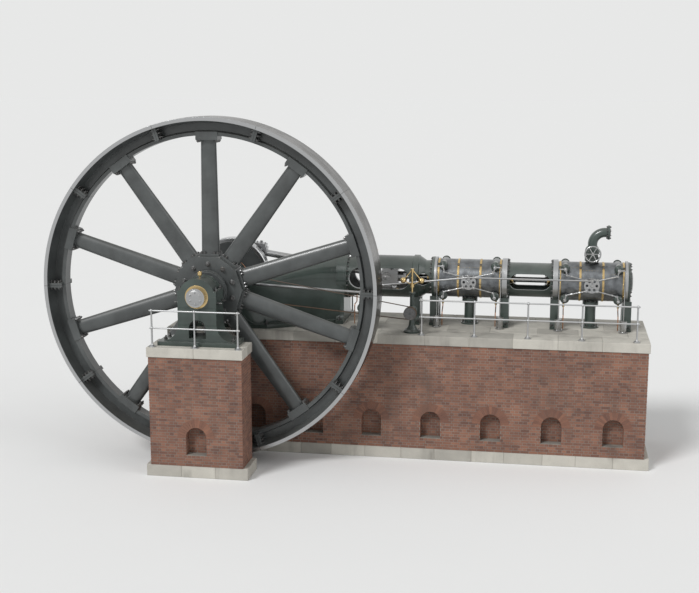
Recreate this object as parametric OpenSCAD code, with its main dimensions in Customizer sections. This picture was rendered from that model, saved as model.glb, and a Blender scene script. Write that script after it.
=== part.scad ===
// Horizontal steam engine with two cylinders in line and a great spoked flywheel.
// X runs from the crankshaft to the cylinders, Y along the shaft, Z up.
// The origin is on the underside of the engine's pier, below the crankshaft and the cylinder line.

/* [Height] */
// Depth of the wheel pit below the engine floor
pit_depth = 3500; // [3450:10:4000]
// Crankshaft centre above the engine floor
shaft_rise = 1300; // [1250:10:1600]

/* [Flywheel] */
// Diameter of the flywheel over its rim
wheel_d = 9200; // [8800:20:9400]
// Width of the rim's face
rim_w = 1000; // [800:10:1100]
// Thickness of the rim plate
rim_plate = 110; // [80:5:140]
// Radial depth of the whole rim
rim_depth = 500; // [420:10:600]
// Distance from the cylinder line to the wheel's middle
wheel_y = 2680; // [2660:10:2900]
// Width of an arm where it leaves the hub
arm_root_w = 500; // [400:10:510]
// Width of an arm at the rim
arm_tip_w = 420; // [320:10:450]
// Thickness of an arm along the shaft
arm_t = 270; // [200:10:300]
// Angle of the first arm above the cylinder line as it stands
arm_angle = 18; // [0:1:35]
// Distance from the shaft centre to the flats of the hub
hub_flat = 880; // [860:10:940]
// Length of the hub along the shaft
hub_l = 1100; // [900:10:1160]

/* [Crankshaft] */
// Diameter of the crankshaft
shaft_d = 500; // [420:10:560]
// Diameter of the crank disc
disc_d = 2140; // [2080:10:2240]
// Thickness of the crank disc
disc_t = 330; // [260:10:340]
// Diameter of the crank pin
crank_pin_d = 220; // [180:10:260]
// Angle of the crank above the cylinder line as it stands
crank_angle = 60; // [30:5:150]

/* [Running gear] */
// Stroke of the pistons
stroke = 1520; // [1400:10:1560]
// Connecting rod between its pin centres
rod_length = 4100; // [4000:10:4400]
// Thickness of the connecting rod's ends along their pins
rod_end_t = 300; // [240:10:320]
// Diameter of the piston rod
piston_rod_d = 150; // [110:5:180]
// Diameter of the crosshead pin
crosshead_pin_d = 180; // [140:10:200]
// Bore of the crosshead guide
guide_d = 1000; // [960:10:1080]
// Length of the crosshead's slippers
slipper_l = 640; // [560:10:700]

/* [Bearings] */
// Distance from the cylinder line to the middle of the main bearing
main_y = 1230; // [1210:10:1240]
// Length of the main bearing
main_l = 860; // [760:10:880]
// Length of the outboard bearing
outboard_l = 700; // [600:10:760]
// Thickness of the bearing brasses
brass_t = 60; // [40:5:80]

/* [Cylinders] */
// Bore of both cylinders
bore_d = 660; // [560:10:700]
// Thickness of the cylinder walls
wall_t = 45; // [35:5:60]
// Outside diameter of the lagging
lagging_d = 1080; // [1060:10:1160]
// Diameter of the end flanges
flange_d = 1180; // [1160:10:1260]
// Thickness of the end flanges
flange_t = 70; // [50:5:90]
// Thickness of the pistons
piston_t = 180; // [140:10:220]
// Room between a piston and the cylinder cover at the end of its stroke
end_room = 60; // [40:5:100]
// Length of the open piece between the two cylinders
lantern_l = 1400; // [1300:10:1600]

/* [Foundation] */
// Width of the brick piers beyond what they carry
pier_margin = 320; // [300:10:400]
// Thickness of the stone coping on the piers
coping_t = 260; // [200:10:320]
// Height of the spread footing
footing_h = 320; // [250:10:450]
// Spread of the footing beyond the pier
footing_out = 130; // [80:10:200]

/* [Handrails] */
// Height of the top rail above the floor
rail_h = 960; // [850:10:1050]
// Diameter of the rails
rail_d = 42; // [34:2:60]

/* [Hidden] */
$fn = 64;
// Radial clearance of a shaft in its bearing
run_fit = 0.05;
// Gap between pieces of different bodies whose curved faces meet
seat_gap = 0.3;
// Gap at a joint line between castings of one node
joint_gap = 0.6;
arm_count = 10;
arm_pitch = 360 / arm_count;
// The pads where an arm meets the rim
pad_w = 420;
pad_margin = 90;
floor_z = pit_depth;
axis_z = floor_z + shaft_rise;
wheel_r = wheel_d / 2;
shaft_r = shaft_d / 2;
crank_r = stroke / 2;
guide_r = guide_d / 2;
bore_r = bore_d / 2;
lag_r = lagging_d / 2;
flange_r = flange_d / 2;
rod_r = piston_rod_d / 2;

// The connecting rod's slope, and how far the crosshead stands from the shaft
rod_tilt = asin(crank_r * sin(crank_angle) / rod_length);
crosshead_x = crank_r * cos(crank_angle) + rod_length * cos(rod_tilt);
crosshead_mid = rod_length;
crosshead_shift = crosshead_x - crosshead_mid;

// The engine bed from the crank end to the first cylinder
overrun = 30;
guide_x0 = crosshead_mid - crank_r - slipper_l / 2 + overrun;
guide_x1 = crosshead_mid + crank_r + slipper_l / 2 + 80;
neck_l = 560;
neck_r = 480;
mouth_t = 220;
// Length over which the sole plate narrows from the mouth to the jaw
sole_taper = 900;
front_x0 = guide_x1 + neck_l;
cylinder_l = stroke + piston_t + 2 * end_room + 2 * flange_t;
front_x1 = front_x0 + cylinder_l;
rear_x0 = front_x1 + lantern_l;
rear_x1 = rear_x0 + cylinder_l;
guide_wall = 95;
guide_out_r = guide_r + guide_wall;
mouth_r = guide_out_r + 60;
bead_r = guide_out_r + 30;
lip_t = 110;
cap_t = 150;
pedestal_top = 520;
pedestal_core_w = 460;
pedestal_core_h = 260;

// Places along the shaft, all on the wheel's side of the cylinder line
disc_y = rod_end_t / 2 + 110;
main_y0 = main_y - main_l / 2;
main_y1 = main_y + main_l / 2;
outboard_y = wheel_y + hub_l / 2 + 190 + outboard_l / 2;
outboard_y0 = outboard_y - outboard_l / 2;
outboard_y1 = outboard_y + outboard_l / 2;
shaft_end_y = outboard_y1 + 140;
pit_gap = 280;
pier_near_y = wheel_y - rim_w / 2 - pit_gap;
pier_far_y = wheel_y + rim_w / 2 + pit_gap;

// The crank disc's sweep, and the room the connecting rod needs round it
disc_r = disc_d / 2;
disc_boss = 30;
sweep_gap = 60;
pin_gap = 1;

// The connecting rod's big end: its height, and its reach on each side of the crank pin
big_end_h = 520;
big_end_out = 300;
big_end_in = 480;
strap_t = 90;
brass_out = big_end_out - strap_t - 10;
brass_in = 170;

// The crosshead's cheeks and the shoes at their ends, and the slippers' width
cheek_w = 240;
cheek_h = 380;
shoe_t = 60;
slipper_w = 500;
// How far the piston rod's socket reaches from the pin
socket_end = 480;

// Foundation outline, and the arched pockets that give access to its bolts
pocket_w = 560;
pocket_h = 480;
pocket_deep = 260;
pocket_z = footing_h + 300;
pocket_pitch = 1640;
pier_x0 = -1500;
pier_x1 = rear_x1 + 520;
pier_back_y = 1100;
outboard_x = 1250;

// Valve gear, on the wheel's side of the cylinders
valve_r = 88;
valve_z = bore_r + valve_r + 8;
valve_in = flange_t + 190;
bonnet_r = 125;
bonnet_y = 610;
chamber_y = 480;
gland_wall = 60;
gland_l = 240;
// A gland's flange, and the nut behind it: their start, end and height above the rod
gland_flange = [80, 115, 105];
gland_nut = [190, gland_l - 15, 95];
gland_neck = 45;
mouth_hole_r = bore_r - 60;
exhaust_r = 150;
// The exhaust branches' height between lagging and pipe, and the pipes' flanges
branch_drop = 60;
pipe_flange_out = 70;
pipe_flange_t = 45;
steam_r = 130;
branch_top = lag_r + 90;
// The steam elbow's upright, its bend, and the stop valve's middle on the upright
elbow_rise = 420;
elbow_bend = 330;
valve_mid = elbow_rise * 0.52;
valve_reach = 330;
gear_y = 700;
wrist_r = 210;
pin_rise = 150;
dashpot_y = gear_y - 20;
dashpot_arm = 160;
reach_y = gear_y + 130;
eccentric_throw = 90;
eccentric_r = shaft_r + eccentric_throw + 60;
eccentric_t = 130;
eccentric_y = main_y1 + 100;
rocker_in = 900;
rocker_x = guide_x0 + rocker_in;
rocker_rise = 460;
rocker_drop = 640;

// Helpers that turn drawings and rods to the engine's axes

// A drawing in X and Z, carried along Y from y0 to y1
module across(y0, y1) {
    translate([0, y1, 0]) rotate([90, 0, 0]) linear_extrude(y1 - y0) children();
}

// A drawing in Y and Z, carried along X from x0 to x1
module along(x0, x1) {
    translate([x0, 0, 0]) rotate([90, 0, 90]) linear_extrude(x1 - x0) children();
}

// A half section in radius and length, turned about X
module turned_x() {
    rotate([0, 90, 0]) rotate_extrude() children();
}

// A half section in radius and length, turned about Y
module turned_y() {
    rotate([-90, 0, 0]) rotate_extrude() children();
}

module bar_x(x0, x1, r) {
    translate([x0, 0, 0]) rotate([0, 90, 0]) cylinder(r = r, h = x1 - x0);
}

module bar_y(y0, y1, r) {
    translate([0, y1, 0]) rotate([90, 0, 0]) cylinder(r = r, h = y1 - y0);
}

// A straight round bar between two points of one upright plane across Y
module link(from, to, y, r) {
    dx = to[0] - from[0];
    dz = to[1] - from[1];
    translate([from[0], y, from[1]])
        rotate([0, 90 - atan2(dz, dx), 0])
            cylinder(r = r, h = norm([dx, dz]));
}

// A column on a wider foot, with a cove between them, standing on zero
module coved_2d(foot, top, height, lip) {
    cove = foot - top;
    translate([-foot, 0]) square([2 * foot, lip]);
    translate([-top, 0]) square([2 * top, height]);
    difference() {
        translate([-foot, 0]) square([2 * foot, lip + cove]);
        for (s = [-1, 1]) translate([s * foot, lip + cove]) circle(cove);
    }
}

// An opening of width w, straight to height h with a round arch above
module arch_2d(w, h) {
    translate([-w / 2, 0]) square([w, h]);
    translate([0, h]) circle(w / 2);
}

// A slot with round ends in X and Z, centred on its own middle
module slot_2d(w, h) {
    square([w - h, h], center = true);
    translate([-(w - h) / 2, 0]) circle(h / 2);
    translate([(w - h) / 2, 0]) circle(h / 2);
}

// Foundation

module pier_outline(x0, x1, y0, y1, spread) {
    translate([x0 - spread, y0]) square([x1 - x0 + 2 * spread, y1 - y0]);
}

module engine_pier_outline(spread) {
    pier_outline(pier_x0, pier_x1, -pier_near_y, pier_back_y, spread);
}

module outboard_pier_outline(spread) {
    pier_outline(-outboard_x, outboard_x, -outboard_y1 - pier_margin, -pier_far_y, spread);
}

module pier_brickwork() {
    translate([0, 0, footing_h]) linear_extrude(floor_z - coping_t - footing_h) children();
}

module foundation_piers() {
    count = floor((pier_x1 - pier_x0) / pocket_pitch);
    first = (pier_x0 + pier_x1 - (count - 1) * pocket_pitch) / 2;
    face = -outboard_y1 - pier_margin;
    color("#8a6a58") difference() {
        pier_brickwork() {
            engine_pier_outline(0);
            outboard_pier_outline(0);
        }
        for (i = [0:count - 1]) translate([first + i * pocket_pitch, 0, pocket_z]) {
            across(-pier_near_y - 1, -pier_near_y + pocket_deep) arch_2d(pocket_w, pocket_h);
            across(pier_back_y - pocket_deep, pier_back_y + 1) arch_2d(pocket_w, pocket_h);
        }
        translate([0, 0, pocket_z]) across(face - 1, face + pocket_deep) arch_2d(pocket_w, pocket_h);
    }
}

module footings() {
    color("#a39c8c") linear_extrude(footing_h) {
        engine_pier_outline(footing_out);
        outboard_pier_outline(footing_out);
    }
}

module pier_coping() {
    lip = 40;
    color("#b9b2a2") translate([0, 0, floor_z - coping_t]) {
        linear_extrude(coping_t) {
            translate([pier_x0 - lip, -pier_near_y - lip])
                square([pier_x1 - pier_x0 + 2 * lip, pier_near_y + pier_back_y + 2 * lip]);
            translate([-outboard_x - lip, -outboard_y1 - pier_margin - lip])
                square([2 * (outboard_x + lip), outboard_y1 + pier_margin - pier_far_y + 2 * lip]);
        }
    }
}

// Engine bed: main bearing jaw, girder and the guide's mouth in one casting

jaw_foot = 1000;
jaw_top = 560;
girder_x = 480;

// A thin slice of the girder with rounded shoulders, on the floor, from y0 to y1 and up to the level top
module girder_slice(x, y0, y1, top, shoulder) {
    along(x, x + 1) {
        for (y = [y0 + shoulder, y1 - shoulder])
            translate([y, top - shoulder]) circle(shoulder, $fn = 32);
        translate([y0, -shaft_rise]) square([y1 - y0, shaft_rise + top - shoulder]);
    }
}

// The girder's slice at a share of its way from the jaw to the mouth, swinging over and up in an easy curve
module girder_at(share) {
    ease = share * share * (3 - 2 * share);
    mouth_x = guide_x0 + mouth_t / 2;
    girder_slice(
        girder_x + (mouth_x - girder_x) * share,
        -main_y1 + (main_y1 - guide_out_r) * ease,
        -main_y0 + (main_y0 + guide_out_r) * ease,
        -60 + (guide_out_r + 60) * ease,
        60 + (guide_out_r - 62) * ease
    );
}

girder_steps = 5;

module girder() {
    for (i = [0:girder_steps - 1]) hull() {
        girder_at(i / girder_steps);
        girder_at((i + 1) / girder_steps);
    }
}

// Hollow for the connecting rod and its big end, swinging between the rod's two slopes
module rod_room() {
    swing = asin(crank_r / rod_length);
    reach = crosshead_mid + crank_r;
    rod_h = 190;
    lift = big_end_h / 2 * sin(swing);
    pit_h = crank_r + big_end_h / 2 + big_end_out * sin(swing) + 50;
    pit_x = reach - rod_length * cos(swing) + big_end_in + lift + sweep_gap;
    throat_h = rod_h + (reach - pit_x) * tan(swing);
    across(-disc_y - 1, rod_end_t / 2 + 80)
        polygon([
            [reach, rod_h], [pit_x, throat_h], [pit_x, pit_h], [-2 * disc_r, pit_h],
            [-2 * disc_r, -pit_h], [pit_x, -pit_h], [pit_x, -throat_h], [reach, -rod_h]
        ]);
}

module engine_bed() {
    color("#2f4438") translate([0, 0, axis_z]) difference() {
        union() {
            // Bearing jaw
            across(-main_y1, -main_y0)
                translate([0, -shaft_rise]) coved_2d(jaw_foot, jaw_top, shaft_rise, lip_t);
            // Girder that sweeps across from the jaw to the mouth
            girder();
            // Mouth ring on its own coved foot
            along(guide_x0, guide_x0 + mouth_t) {
                circle(mouth_r);
                translate([0, -shaft_rise]) coved_2d(mouth_r + 110, mouth_r - 70, shaft_rise, lip_t);
            }
            // Sole plate under the crank and the girder
            translate([0, 0, -shaft_rise]) linear_extrude(lip_t) polygon([
                [-jaw_foot, -main_y1 - 70], [jaw_foot + 300, -main_y1 - 70],
                [guide_x0, -mouth_r - 60], [guide_x0, mouth_r + 60],
                [guide_x0 - sole_taper, mouth_r + 60], [-jaw_foot, mouth_r - 40]
            ]);
        }
        // Room for the crank disc, the connecting rod and its big end
        bar_y(-disc_y - disc_t - sweep_gap, guide_out_r, disc_r + sweep_gap);
        rod_room();
        // Main bearing, shaft and guide bore
        bar_y(-main_y1 - 1, -main_y0 + 1, shaft_r + brass_t);
        bar_y(-main_y0, -disc_y - disc_t, shaft_r + 30);
        bar_x(guide_x0 - guide_d, guide_x0 + mouth_t + 1, guide_r);
        // Flat top of the jaw, where the cap sits
        translate([-2 * jaw_foot, -2 * main_y1, 0])
            cube([2 * jaw_foot + jaw_top, 2 * main_y1 - main_y0, 2 * shaft_r]);
    }
}

module crosshead_guide() {
    x0 = guide_x0 + mouth_t;
    window_x0 = x0 + flange_t + 70;
    window_x1 = guide_x1 - 130;
    window_h = 600;
    window_mid = (window_x0 + window_x1) / 2;
    lip = 45;
    lip_rise = 18;
    gland_window = neck_l - flange_t - 130;
    color("#2f4438") translate([0, 0, axis_z]) difference() {
        union() {
            turned_x() polygon([
                [guide_r, x0], [mouth_r, x0], [mouth_r, x0 + flange_t], [guide_out_r, x0 + flange_t + 30],
                [guide_out_r, guide_x1 - 60], [bead_r, guide_x1 - 40], [bead_r, guide_x1 + 110],
                [guide_out_r, guide_x1 + 130], [neck_r, guide_x1 + 300], [neck_r, front_x0 - flange_t - 20],
                [neck_r + 30, front_x0 - flange_t], [flange_r, front_x0 - flange_t], [flange_r, front_x0],
                [neck_r - 60, front_x0], [neck_r - 60, guide_x1 + 60], [guide_r, guide_x1]
            ]);
            // Raised lips round the windows
            intersection() {
                bar_x(window_x0 - lip, window_x1 + lip, guide_out_r + lip_rise);
                across(-mouth_r, mouth_r) translate([window_mid, 0])
                    slot_2d(window_x1 - window_x0 + 2 * lip, window_h + 2 * lip);
            }
        }
        bar_x(x0 - 1, guide_x1, guide_r);
        across(-mouth_r, mouth_r) {
            translate([window_mid, 0]) slot_2d(window_x1 - window_x0, window_h);
            translate([guide_x1 + 60 + gland_window / 2, 0]) slot_2d(gland_window, 340);
        }
    }
}

// Bearings

module bearing_cap(y0, y1, half_w, rise) {
    foot_h = 150;
    rib = 22;
    rib_w = 70;
    difference() {
        union() {
            across(y0, y1) translate([-half_w, 0]) square([2 * half_w, foot_h]);
            bar_y(y0, y1, rise);
            // Stiffening ribs round both ends
            bar_y(y0, y0 + rib_w, rise + rib);
            bar_y(y1 - rib_w, y1, rise + rib);
        }
        translate([-2 * rise, y0 - 1, -2 * rise]) cube([4 * rise, y1 - y0 + 2, 2 * rise]);
        bar_y(y0 - 1, y1 + 1, shaft_r + brass_t);
    }
}

module bearing_caps() {
    color("#2f4438") translate([0, 0, axis_z]) {
        bearing_cap(-main_y1, -main_y0, jaw_top, shaft_r + brass_t + cap_t);
        bearing_cap(-outboard_y1, -outboard_y0, pedestal_top, shaft_r + brass_t + cap_t);
    }
}

module brass_sleeve(y0, y1) {
    difference() {
        bar_y(y0, y1, shaft_r + brass_t);
        bar_y(y0 - 1, y1 + 1, shaft_r + run_fit);
    }
}

module bearing_brasses() {
    color("#b08d45") translate([0, 0, axis_z]) {
        brass_sleeve(-main_y1, -main_y0);
        brass_sleeve(-outboard_y1, -outboard_y0);
    }
}

module outboard_pedestal() {
    color("#2f4438") translate([0, 0, axis_z]) difference() {
        union() {
            across(-outboard_y1, -outboard_y0)
                translate([0, -shaft_rise]) coved_2d(jaw_foot - 20, pedestal_top, shaft_rise, lip_t);
            across(-outboard_y1 - 90, -outboard_y0 + 20)
                translate([-jaw_foot - 60, -shaft_rise]) square([2 * jaw_foot + 120, lip_t]);
        }
        bar_y(-outboard_y1 - 1, -outboard_y0 + 1, shaft_r + brass_t);
        // Cored opening under the bearing
        translate([0, 0, lip_t + 90 - shaft_rise])
            across(-outboard_y1 - 1, -outboard_y0 + 1) arch_2d(pedestal_core_w, pedestal_core_h);
    }
}

// Cylinders

module valve_places(x0) {
    for (x = [x0 + valve_in, x0 + cylinder_l - valve_in], z = [-valve_z, valve_z])
        translate([x, 0, z]) children();
}

// A foot that carries a round piece of radius r, with the middle of its length at zero
module saddle_foot(r) {
    foot = 520;
    top = 340;
    length = 250;
    difference() {
        along(-length / 2, length / 2)
            translate([0, -shaft_rise]) coved_2d(foot, top, shaft_rise - r * 0.7, lip_t * 0.8);
        // Arched opening between the legs
        along(-length, length) translate([0, -shaft_rise - 1]) arch_2d(top, shaft_rise * 0.32);
        bar_x(-length, length, r + seat_gap);
    }
}

module cylinder_feet() {
    color("#2f4438") translate([0, 0, axis_z]) {
        translate([guide_x1 + 35, 0, 0]) saddle_foot(bead_r);
        for (x = [front_x0, front_x1, rear_x0, rear_x1])
            translate([x, 0, 0]) saddle_foot(flange_r);
    }
}

module cylinder_casting(x0) {
    x1 = x0 + cylinder_l;
    difference() {
        union() {
            bar_x(x0, x1, bore_r + wall_t);
            bar_x(x0, x0 + flange_t, flange_r);
            bar_x(x1 - flange_t, x1, flange_r);
            valve_places(x0) bar_y(-chamber_y, chamber_y, valve_r + 20);
            // Exhaust branch below
            translate([x0 + cylinder_l / 2, 0, -lag_r - branch_drop]) {
                cylinder(r = exhaust_r, h = lag_r);
                cylinder(r = exhaust_r + pipe_flange_out, h = pipe_flange_t);
            }
            children();
        }
        bar_x(x0 + flange_t, x1 - flange_t, bore_r);
        bar_x(x0 - 1, x1 + 1, mouth_hole_r);
    }
}

// Steam branch on top of the rear cylinder
module steam_branch() {
    translate([rear_x0 + cylinder_l / 2, 0, 0]) {
        cylinder(r = steam_r, h = branch_top);
        translate([0, 0, branch_top - pipe_flange_t])
            cylinder(r = steam_r + pipe_flange_out, h = pipe_flange_t);
    }
}

module lagging_shell(x0) {
    x1 = x0 + cylinder_l;
    difference() {
        bar_x(x0 + flange_t, x1 - flange_t, lag_r);
        bar_x(x0, x1, bore_r + wall_t + 20);
        valve_places(x0) bar_y(-lag_r, lag_r, valve_r + 20 + seat_gap);
        translate([x0 + cylinder_l / 2, 0, -lag_r]) cylinder(r = exhaust_r + seat_gap, h = lag_r);
        children();
    }
}

module front_cylinder() {
    color("#34403a") translate([0, 0, axis_z]) cylinder_casting(front_x0);
}

module rear_cylinder() {
    color("#34403a") translate([0, 0, axis_z]) cylinder_casting(rear_x0) steam_branch();
}

module lagging() {
    color("#4a4f55") translate([0, 0, axis_z]) {
        lagging_shell(front_x0);
        lagging_shell(rear_x0)
            translate([rear_x0 + cylinder_l / 2, 0, 0]) cylinder(r = steam_r + seat_gap, h = lag_r + 1);
    }
}

module lagging_bands() {
    band_w = 56;
    band_t = 12;
    spread = cylinder_l / 2 - flange_t - band_w / 2 - 20;
    color("#c6a052") translate([0, 0, axis_z])
        for (x0 = [front_x0, rear_x0], s = [-1, -0.36, 0.36, 1])
            translate([x0 + cylinder_l / 2 + s * spread - band_w / 2, 0, 0]) difference() {
                bar_x(0, band_w, lag_r + band_t);
                bar_x(-1, band_w + 1, lag_r);
            }
}

module distance_piece() {
    window_h = 440;
    end = flange_t + 30;
    color("#34403a") translate([0, 0, axis_z]) difference() {
        turned_x() polygon([
            [neck_r - 60, front_x1], [flange_r, front_x1], [flange_r, front_x1 + flange_t],
            [neck_r + 30, front_x1 + flange_t], [neck_r, front_x1 + end], [neck_r, rear_x0 - end],
            [neck_r + 30, rear_x0 - flange_t], [flange_r, rear_x0 - flange_t], [flange_r, rear_x0],
            [neck_r - 60, rear_x0]
        ]);
        across(-flange_r, flange_r)
            translate([(front_x1 + rear_x0) / 2, 0]) slot_2d(lantern_l - 2 * end - 80, window_h);
    }
}

// A plate that fills the cylinder's mouth round the stuffing box
module inner_cover(x) {
    difference() {
        bar_x(x, x + flange_t, mouth_hole_r);
        bar_x(x - 1, x + flange_t + 1, rod_r + gland_wall);
    }
}

module cylinder_covers() {
    color("#3c4a42") translate([0, 0, axis_z]) {
        inner_cover(front_x0);
        inner_cover(front_x1 - flange_t);
        inner_cover(rear_x0);
        // The outer end's domed cover
        turned_x() polygon([
            [0, rear_x1 - flange_t], [mouth_hole_r, rear_x1 - flange_t], [mouth_hole_r, rear_x1],
            [flange_r - 30, rear_x1], [flange_r - 30, rear_x1 + 50], [bore_r + 40, rear_x1 + 60],
            [bore_r, rear_x1 + 110], [bore_r - 110, rear_x1 + 145], [0, rear_x1 + 160]
        ]);
    }
}

// A gland standing on a cover at zero and facing along X, its box filling the cover's hole
module gland() {
    difference() {
        turned_x() polygon([
            [0, -flange_t], [rod_r + gland_wall, -flange_t], [rod_r + gland_wall, gland_flange[0]],
            [rod_r + gland_flange[2], gland_flange[0]], [rod_r + gland_flange[2], gland_flange[1]],
            [rod_r + gland_neck, gland_flange[1] + 10], [rod_r + gland_neck, gland_nut[0]],
            [rod_r + gland_nut[2], gland_nut[0]], [rod_r + gland_nut[2], gland_nut[1]],
            [rod_r + gland_wall / 2, gland_l], [0, gland_l]
        ]);
        bar_x(-flange_t - 1, gland_l + 1, rod_r + run_fit);
    }
}

module stuffing_boxes() {
    color("#b08d45") translate([0, 0, axis_z]) {
        translate([front_x0, 0, 0]) mirror([1, 0, 0]) gland();
        translate([front_x1, 0, 0]) gland();
        translate([rear_x0, 0, 0]) mirror([1, 0, 0]) gland();
    }
}

// Pipes: the steam elbow with its stop valve above, the exhaust branches below

module steam_elbow() {
    r = steam_r;
    end_l = 120;
    flange = r + pipe_flange_out;
    color("#34403a") translate([rear_x0 + cylinder_l / 2, 0, axis_z + branch_top]) {
        cylinder(r = flange, h = pipe_flange_t);
        cylinder(r = r, h = elbow_rise);
        // Round body of the stop valve and its bonnet
        translate([0, 0, valve_mid]) {
            sphere(r * 1.55);
            bar_y(-valve_reach, 0, r * 0.8);
            bar_y(-valve_reach, -valve_reach + 40, r * 1.15);
        }
        translate([elbow_bend, 0, elbow_rise]) rotate([90, 0, 0]) rotate([0, 0, 90])
            rotate_extrude(angle = 90) translate([elbow_bend, 0]) circle(r);
        translate([0, 0, elbow_rise + elbow_bend]) {
            bar_x(elbow_bend, elbow_bend + end_l, r);
            bar_x(elbow_bend + end_l - pipe_flange_t, elbow_bend + end_l, flange);
        }
    }
}

module stop_valve_wheel() {
    hub_r = 40;
    ring_r = 210;
    ring_t = 20;
    spokes = 6;
    stem_l = 260;
    color("#c9ccd0")
        translate([rear_x0 + cylinder_l / 2, -valve_reach, axis_z + branch_top + valve_mid]) {
            bar_y(-stem_l, 0, 26);
            translate([0, -stem_l + 30, 0]) rotate([90, 0, 0]) {
                rotate_extrude() translate([ring_r, 0]) circle(ring_t);
                cylinder(r = hub_r, h = 44, center = true);
                for (a = [0:360 / spokes:359]) rotate([0, 90, a]) cylinder(r = 12, h = ring_r);
            }
        }
}

module exhaust_pipes() {
    top = shaft_rise - lag_r - branch_drop;
    color("#34403a") for (x0 = [front_x0, rear_x0])
        translate([x0 + cylinder_l / 2, 0, floor_z]) {
            cylinder(r = exhaust_r + 90, h = 40);
            cylinder(r = exhaust_r, h = top);
            translate([0, 0, top - pipe_flange_t])
                cylinder(r = exhaust_r + pipe_flange_out, h = pipe_flange_t);
        }
}

// Valve gear

module bonnet() {
    turned_y()
        polygon([
            [0, -bonnet_y], [40, -bonnet_y], [40, -bonnet_y + 60], [90, -bonnet_y + 80],
            [bonnet_r, -bonnet_y + 110], [bonnet_r, -chamber_y], [0, -chamber_y]
        ]);
    // Plain cover on the far end of the valve's chamber
    turned_y()
        polygon([
            [0, chamber_y], [bonnet_r, chamber_y], [bonnet_r, chamber_y + 36],
            [bonnet_r * 0.55, chamber_y + 60], [0, chamber_y + 60]
        ]);
}

module valve_bonnets() {
    color("#3c4a42") translate([0, 0, axis_z])
        for (x0 = [front_x0, rear_x0]) valve_places(x0) bonnet();
}

module wrist_plate(x) {
    ear_r = 48;
    plate_t = 48;
    hole_r = 36;
    translate([x, 0, 0]) difference() {
        union() {
            across(-gear_y - plate_t / 2, -gear_y + plate_t / 2) {
                circle(wrist_r);
                for (a = [45, 135, 225, 315]) rotate(a) translate([wrist_r, 0]) circle(ear_r);
            }
            bar_y(-gear_y - 60, -lag_r - 12, 60);
        }
        for (a = [0:60:300])
            rotate([0, a, 0]) translate([wrist_r * 0.62, 0, 0])
                bar_y(-gear_y - plate_t, -gear_y + plate_t, hole_r);
    }
}

module wrist_plates() {
    color("#8d9196") translate([0, 0, axis_z])
        for (x0 = [front_x0, rear_x0]) wrist_plate(x0 + cylinder_l / 2);
}

module valve_links() {
    y = -gear_y - 54;
    color("#b9bdc1") translate([0, 0, axis_z])
        for (x0 = [front_x0, rear_x0]) {
            xm = x0 + cylinder_l / 2;
            for (sx = [-1, 1], sz = [-1, 1]) {
                pin = [xm + sx * wrist_r * cos(45), sz * wrist_r * sin(45)];
                crank = [xm + sx * (cylinder_l / 2 - valve_in) - sx * 40, sz * (valve_z - 150)];
                link(pin, crank, y, 16);
                translate([pin[0], 0, pin[1]]) bar_y(y - 30, -gear_y - 24, 34);
                translate([crank[0], 0, crank[1]]) bar_y(y - 28, -gear_y + 36, 30);
                // The arm on the valve stem
                stem = [crank[0] + sx * 40, sz * valve_z];
                translate([stem[0], 0, stem[1]]) bar_y(-gear_y - 34, -bonnet_y, 45);
                link(stem, crank, -gear_y, 21);
                // Steam valves have a second arm for the dashpot's rod
                if (sz > 0) link(stem, [stem[0] + sx * (dashpot_arm - 16), stem[1]], -dashpot_y, 21);
            }
        }
}

module dashpots() {
    pot_r = 90;
    pot_h = 330;
    color("#8d9196") translate([0, 0, floor_z])
        for (x0 = [front_x0, rear_x0], s = [-1, 1])
            translate([x0 + cylinder_l / 2 + s * (cylinder_l / 2 - valve_in + dashpot_arm), -dashpot_y, 0]) {
                cylinder(r = pot_r + 30, h = 40);
                cylinder(r = pot_r, h = pot_h);
                translate([0, 0, pot_h - 30]) cylinder(r = pot_r + 10, h = 40);
                cylinder(r = 14, h = shaft_rise + valve_z);
            }
}

// Children lie along the eccentric's rod, with the eccentric's centre at zero
module eccentric_frame() {
    slope = atan2(rocker_rise - rocker_drop, rocker_x - eccentric_throw);
    translate([eccentric_throw, -eccentric_y, axis_z]) rotate([0, -slope, 0]) children();
}

eccentric_neck = eccentric_r + 320;

module eccentric() {
    color("#5b6166") difference() {
        eccentric_frame() {
            bar_y(-eccentric_t / 2, eccentric_t / 2, eccentric_r + 60);
            for (s = [-1, 1])
                translate([-60, -eccentric_t / 2 + 10, s * (eccentric_r + 60) - 50])
                    cube([120, eccentric_t - 20, 100]);
            bar_x(eccentric_r, eccentric_neck, 60);
        }
        translate([0, -eccentric_y, axis_z]) bar_y(-eccentric_t, eccentric_t, shaft_r + seat_gap);
    }
}

module eccentric_rod() {
    rod_l = norm([rocker_x - eccentric_throw, rocker_rise - rocker_drop]);
    eccentric_frame() {
        bar_x(eccentric_neck, rod_l, 34);
        translate([rod_l, 0, 0]) bar_y(-45, 45, 60);
    }
}

module rocker_stand() {
    y0 = -eccentric_y + 60;
    color("#2f4438") translate([rocker_x, 0, axis_z]) {
        across(y0 + 70, y0 + 210) polygon([
            [-260, -shaft_rise], [260, -shaft_rise], [260, -shaft_rise + 60],
            [80, -shaft_rise + 120], [100, -rocker_drop], [-100, -rocker_drop],
            [-80, -shaft_rise + 120], [-260, -shaft_rise + 60]
        ]);
        translate([0, 0, -rocker_drop]) {
            bar_y(y0, -reach_y + 30, 75);
            bar_y(y0 + 60, y0 + 220, 130);
            bar_y(y0 - 10, y0 + 50, 110);
        }
        across(y0, y0 + 40) polygon([
            [-80, -rocker_drop], [80, -rocker_drop],
            [46, rocker_rise - rocker_drop - 70], [-46, rocker_rise - rocker_drop - 70]
        ]);
    }
}

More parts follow.
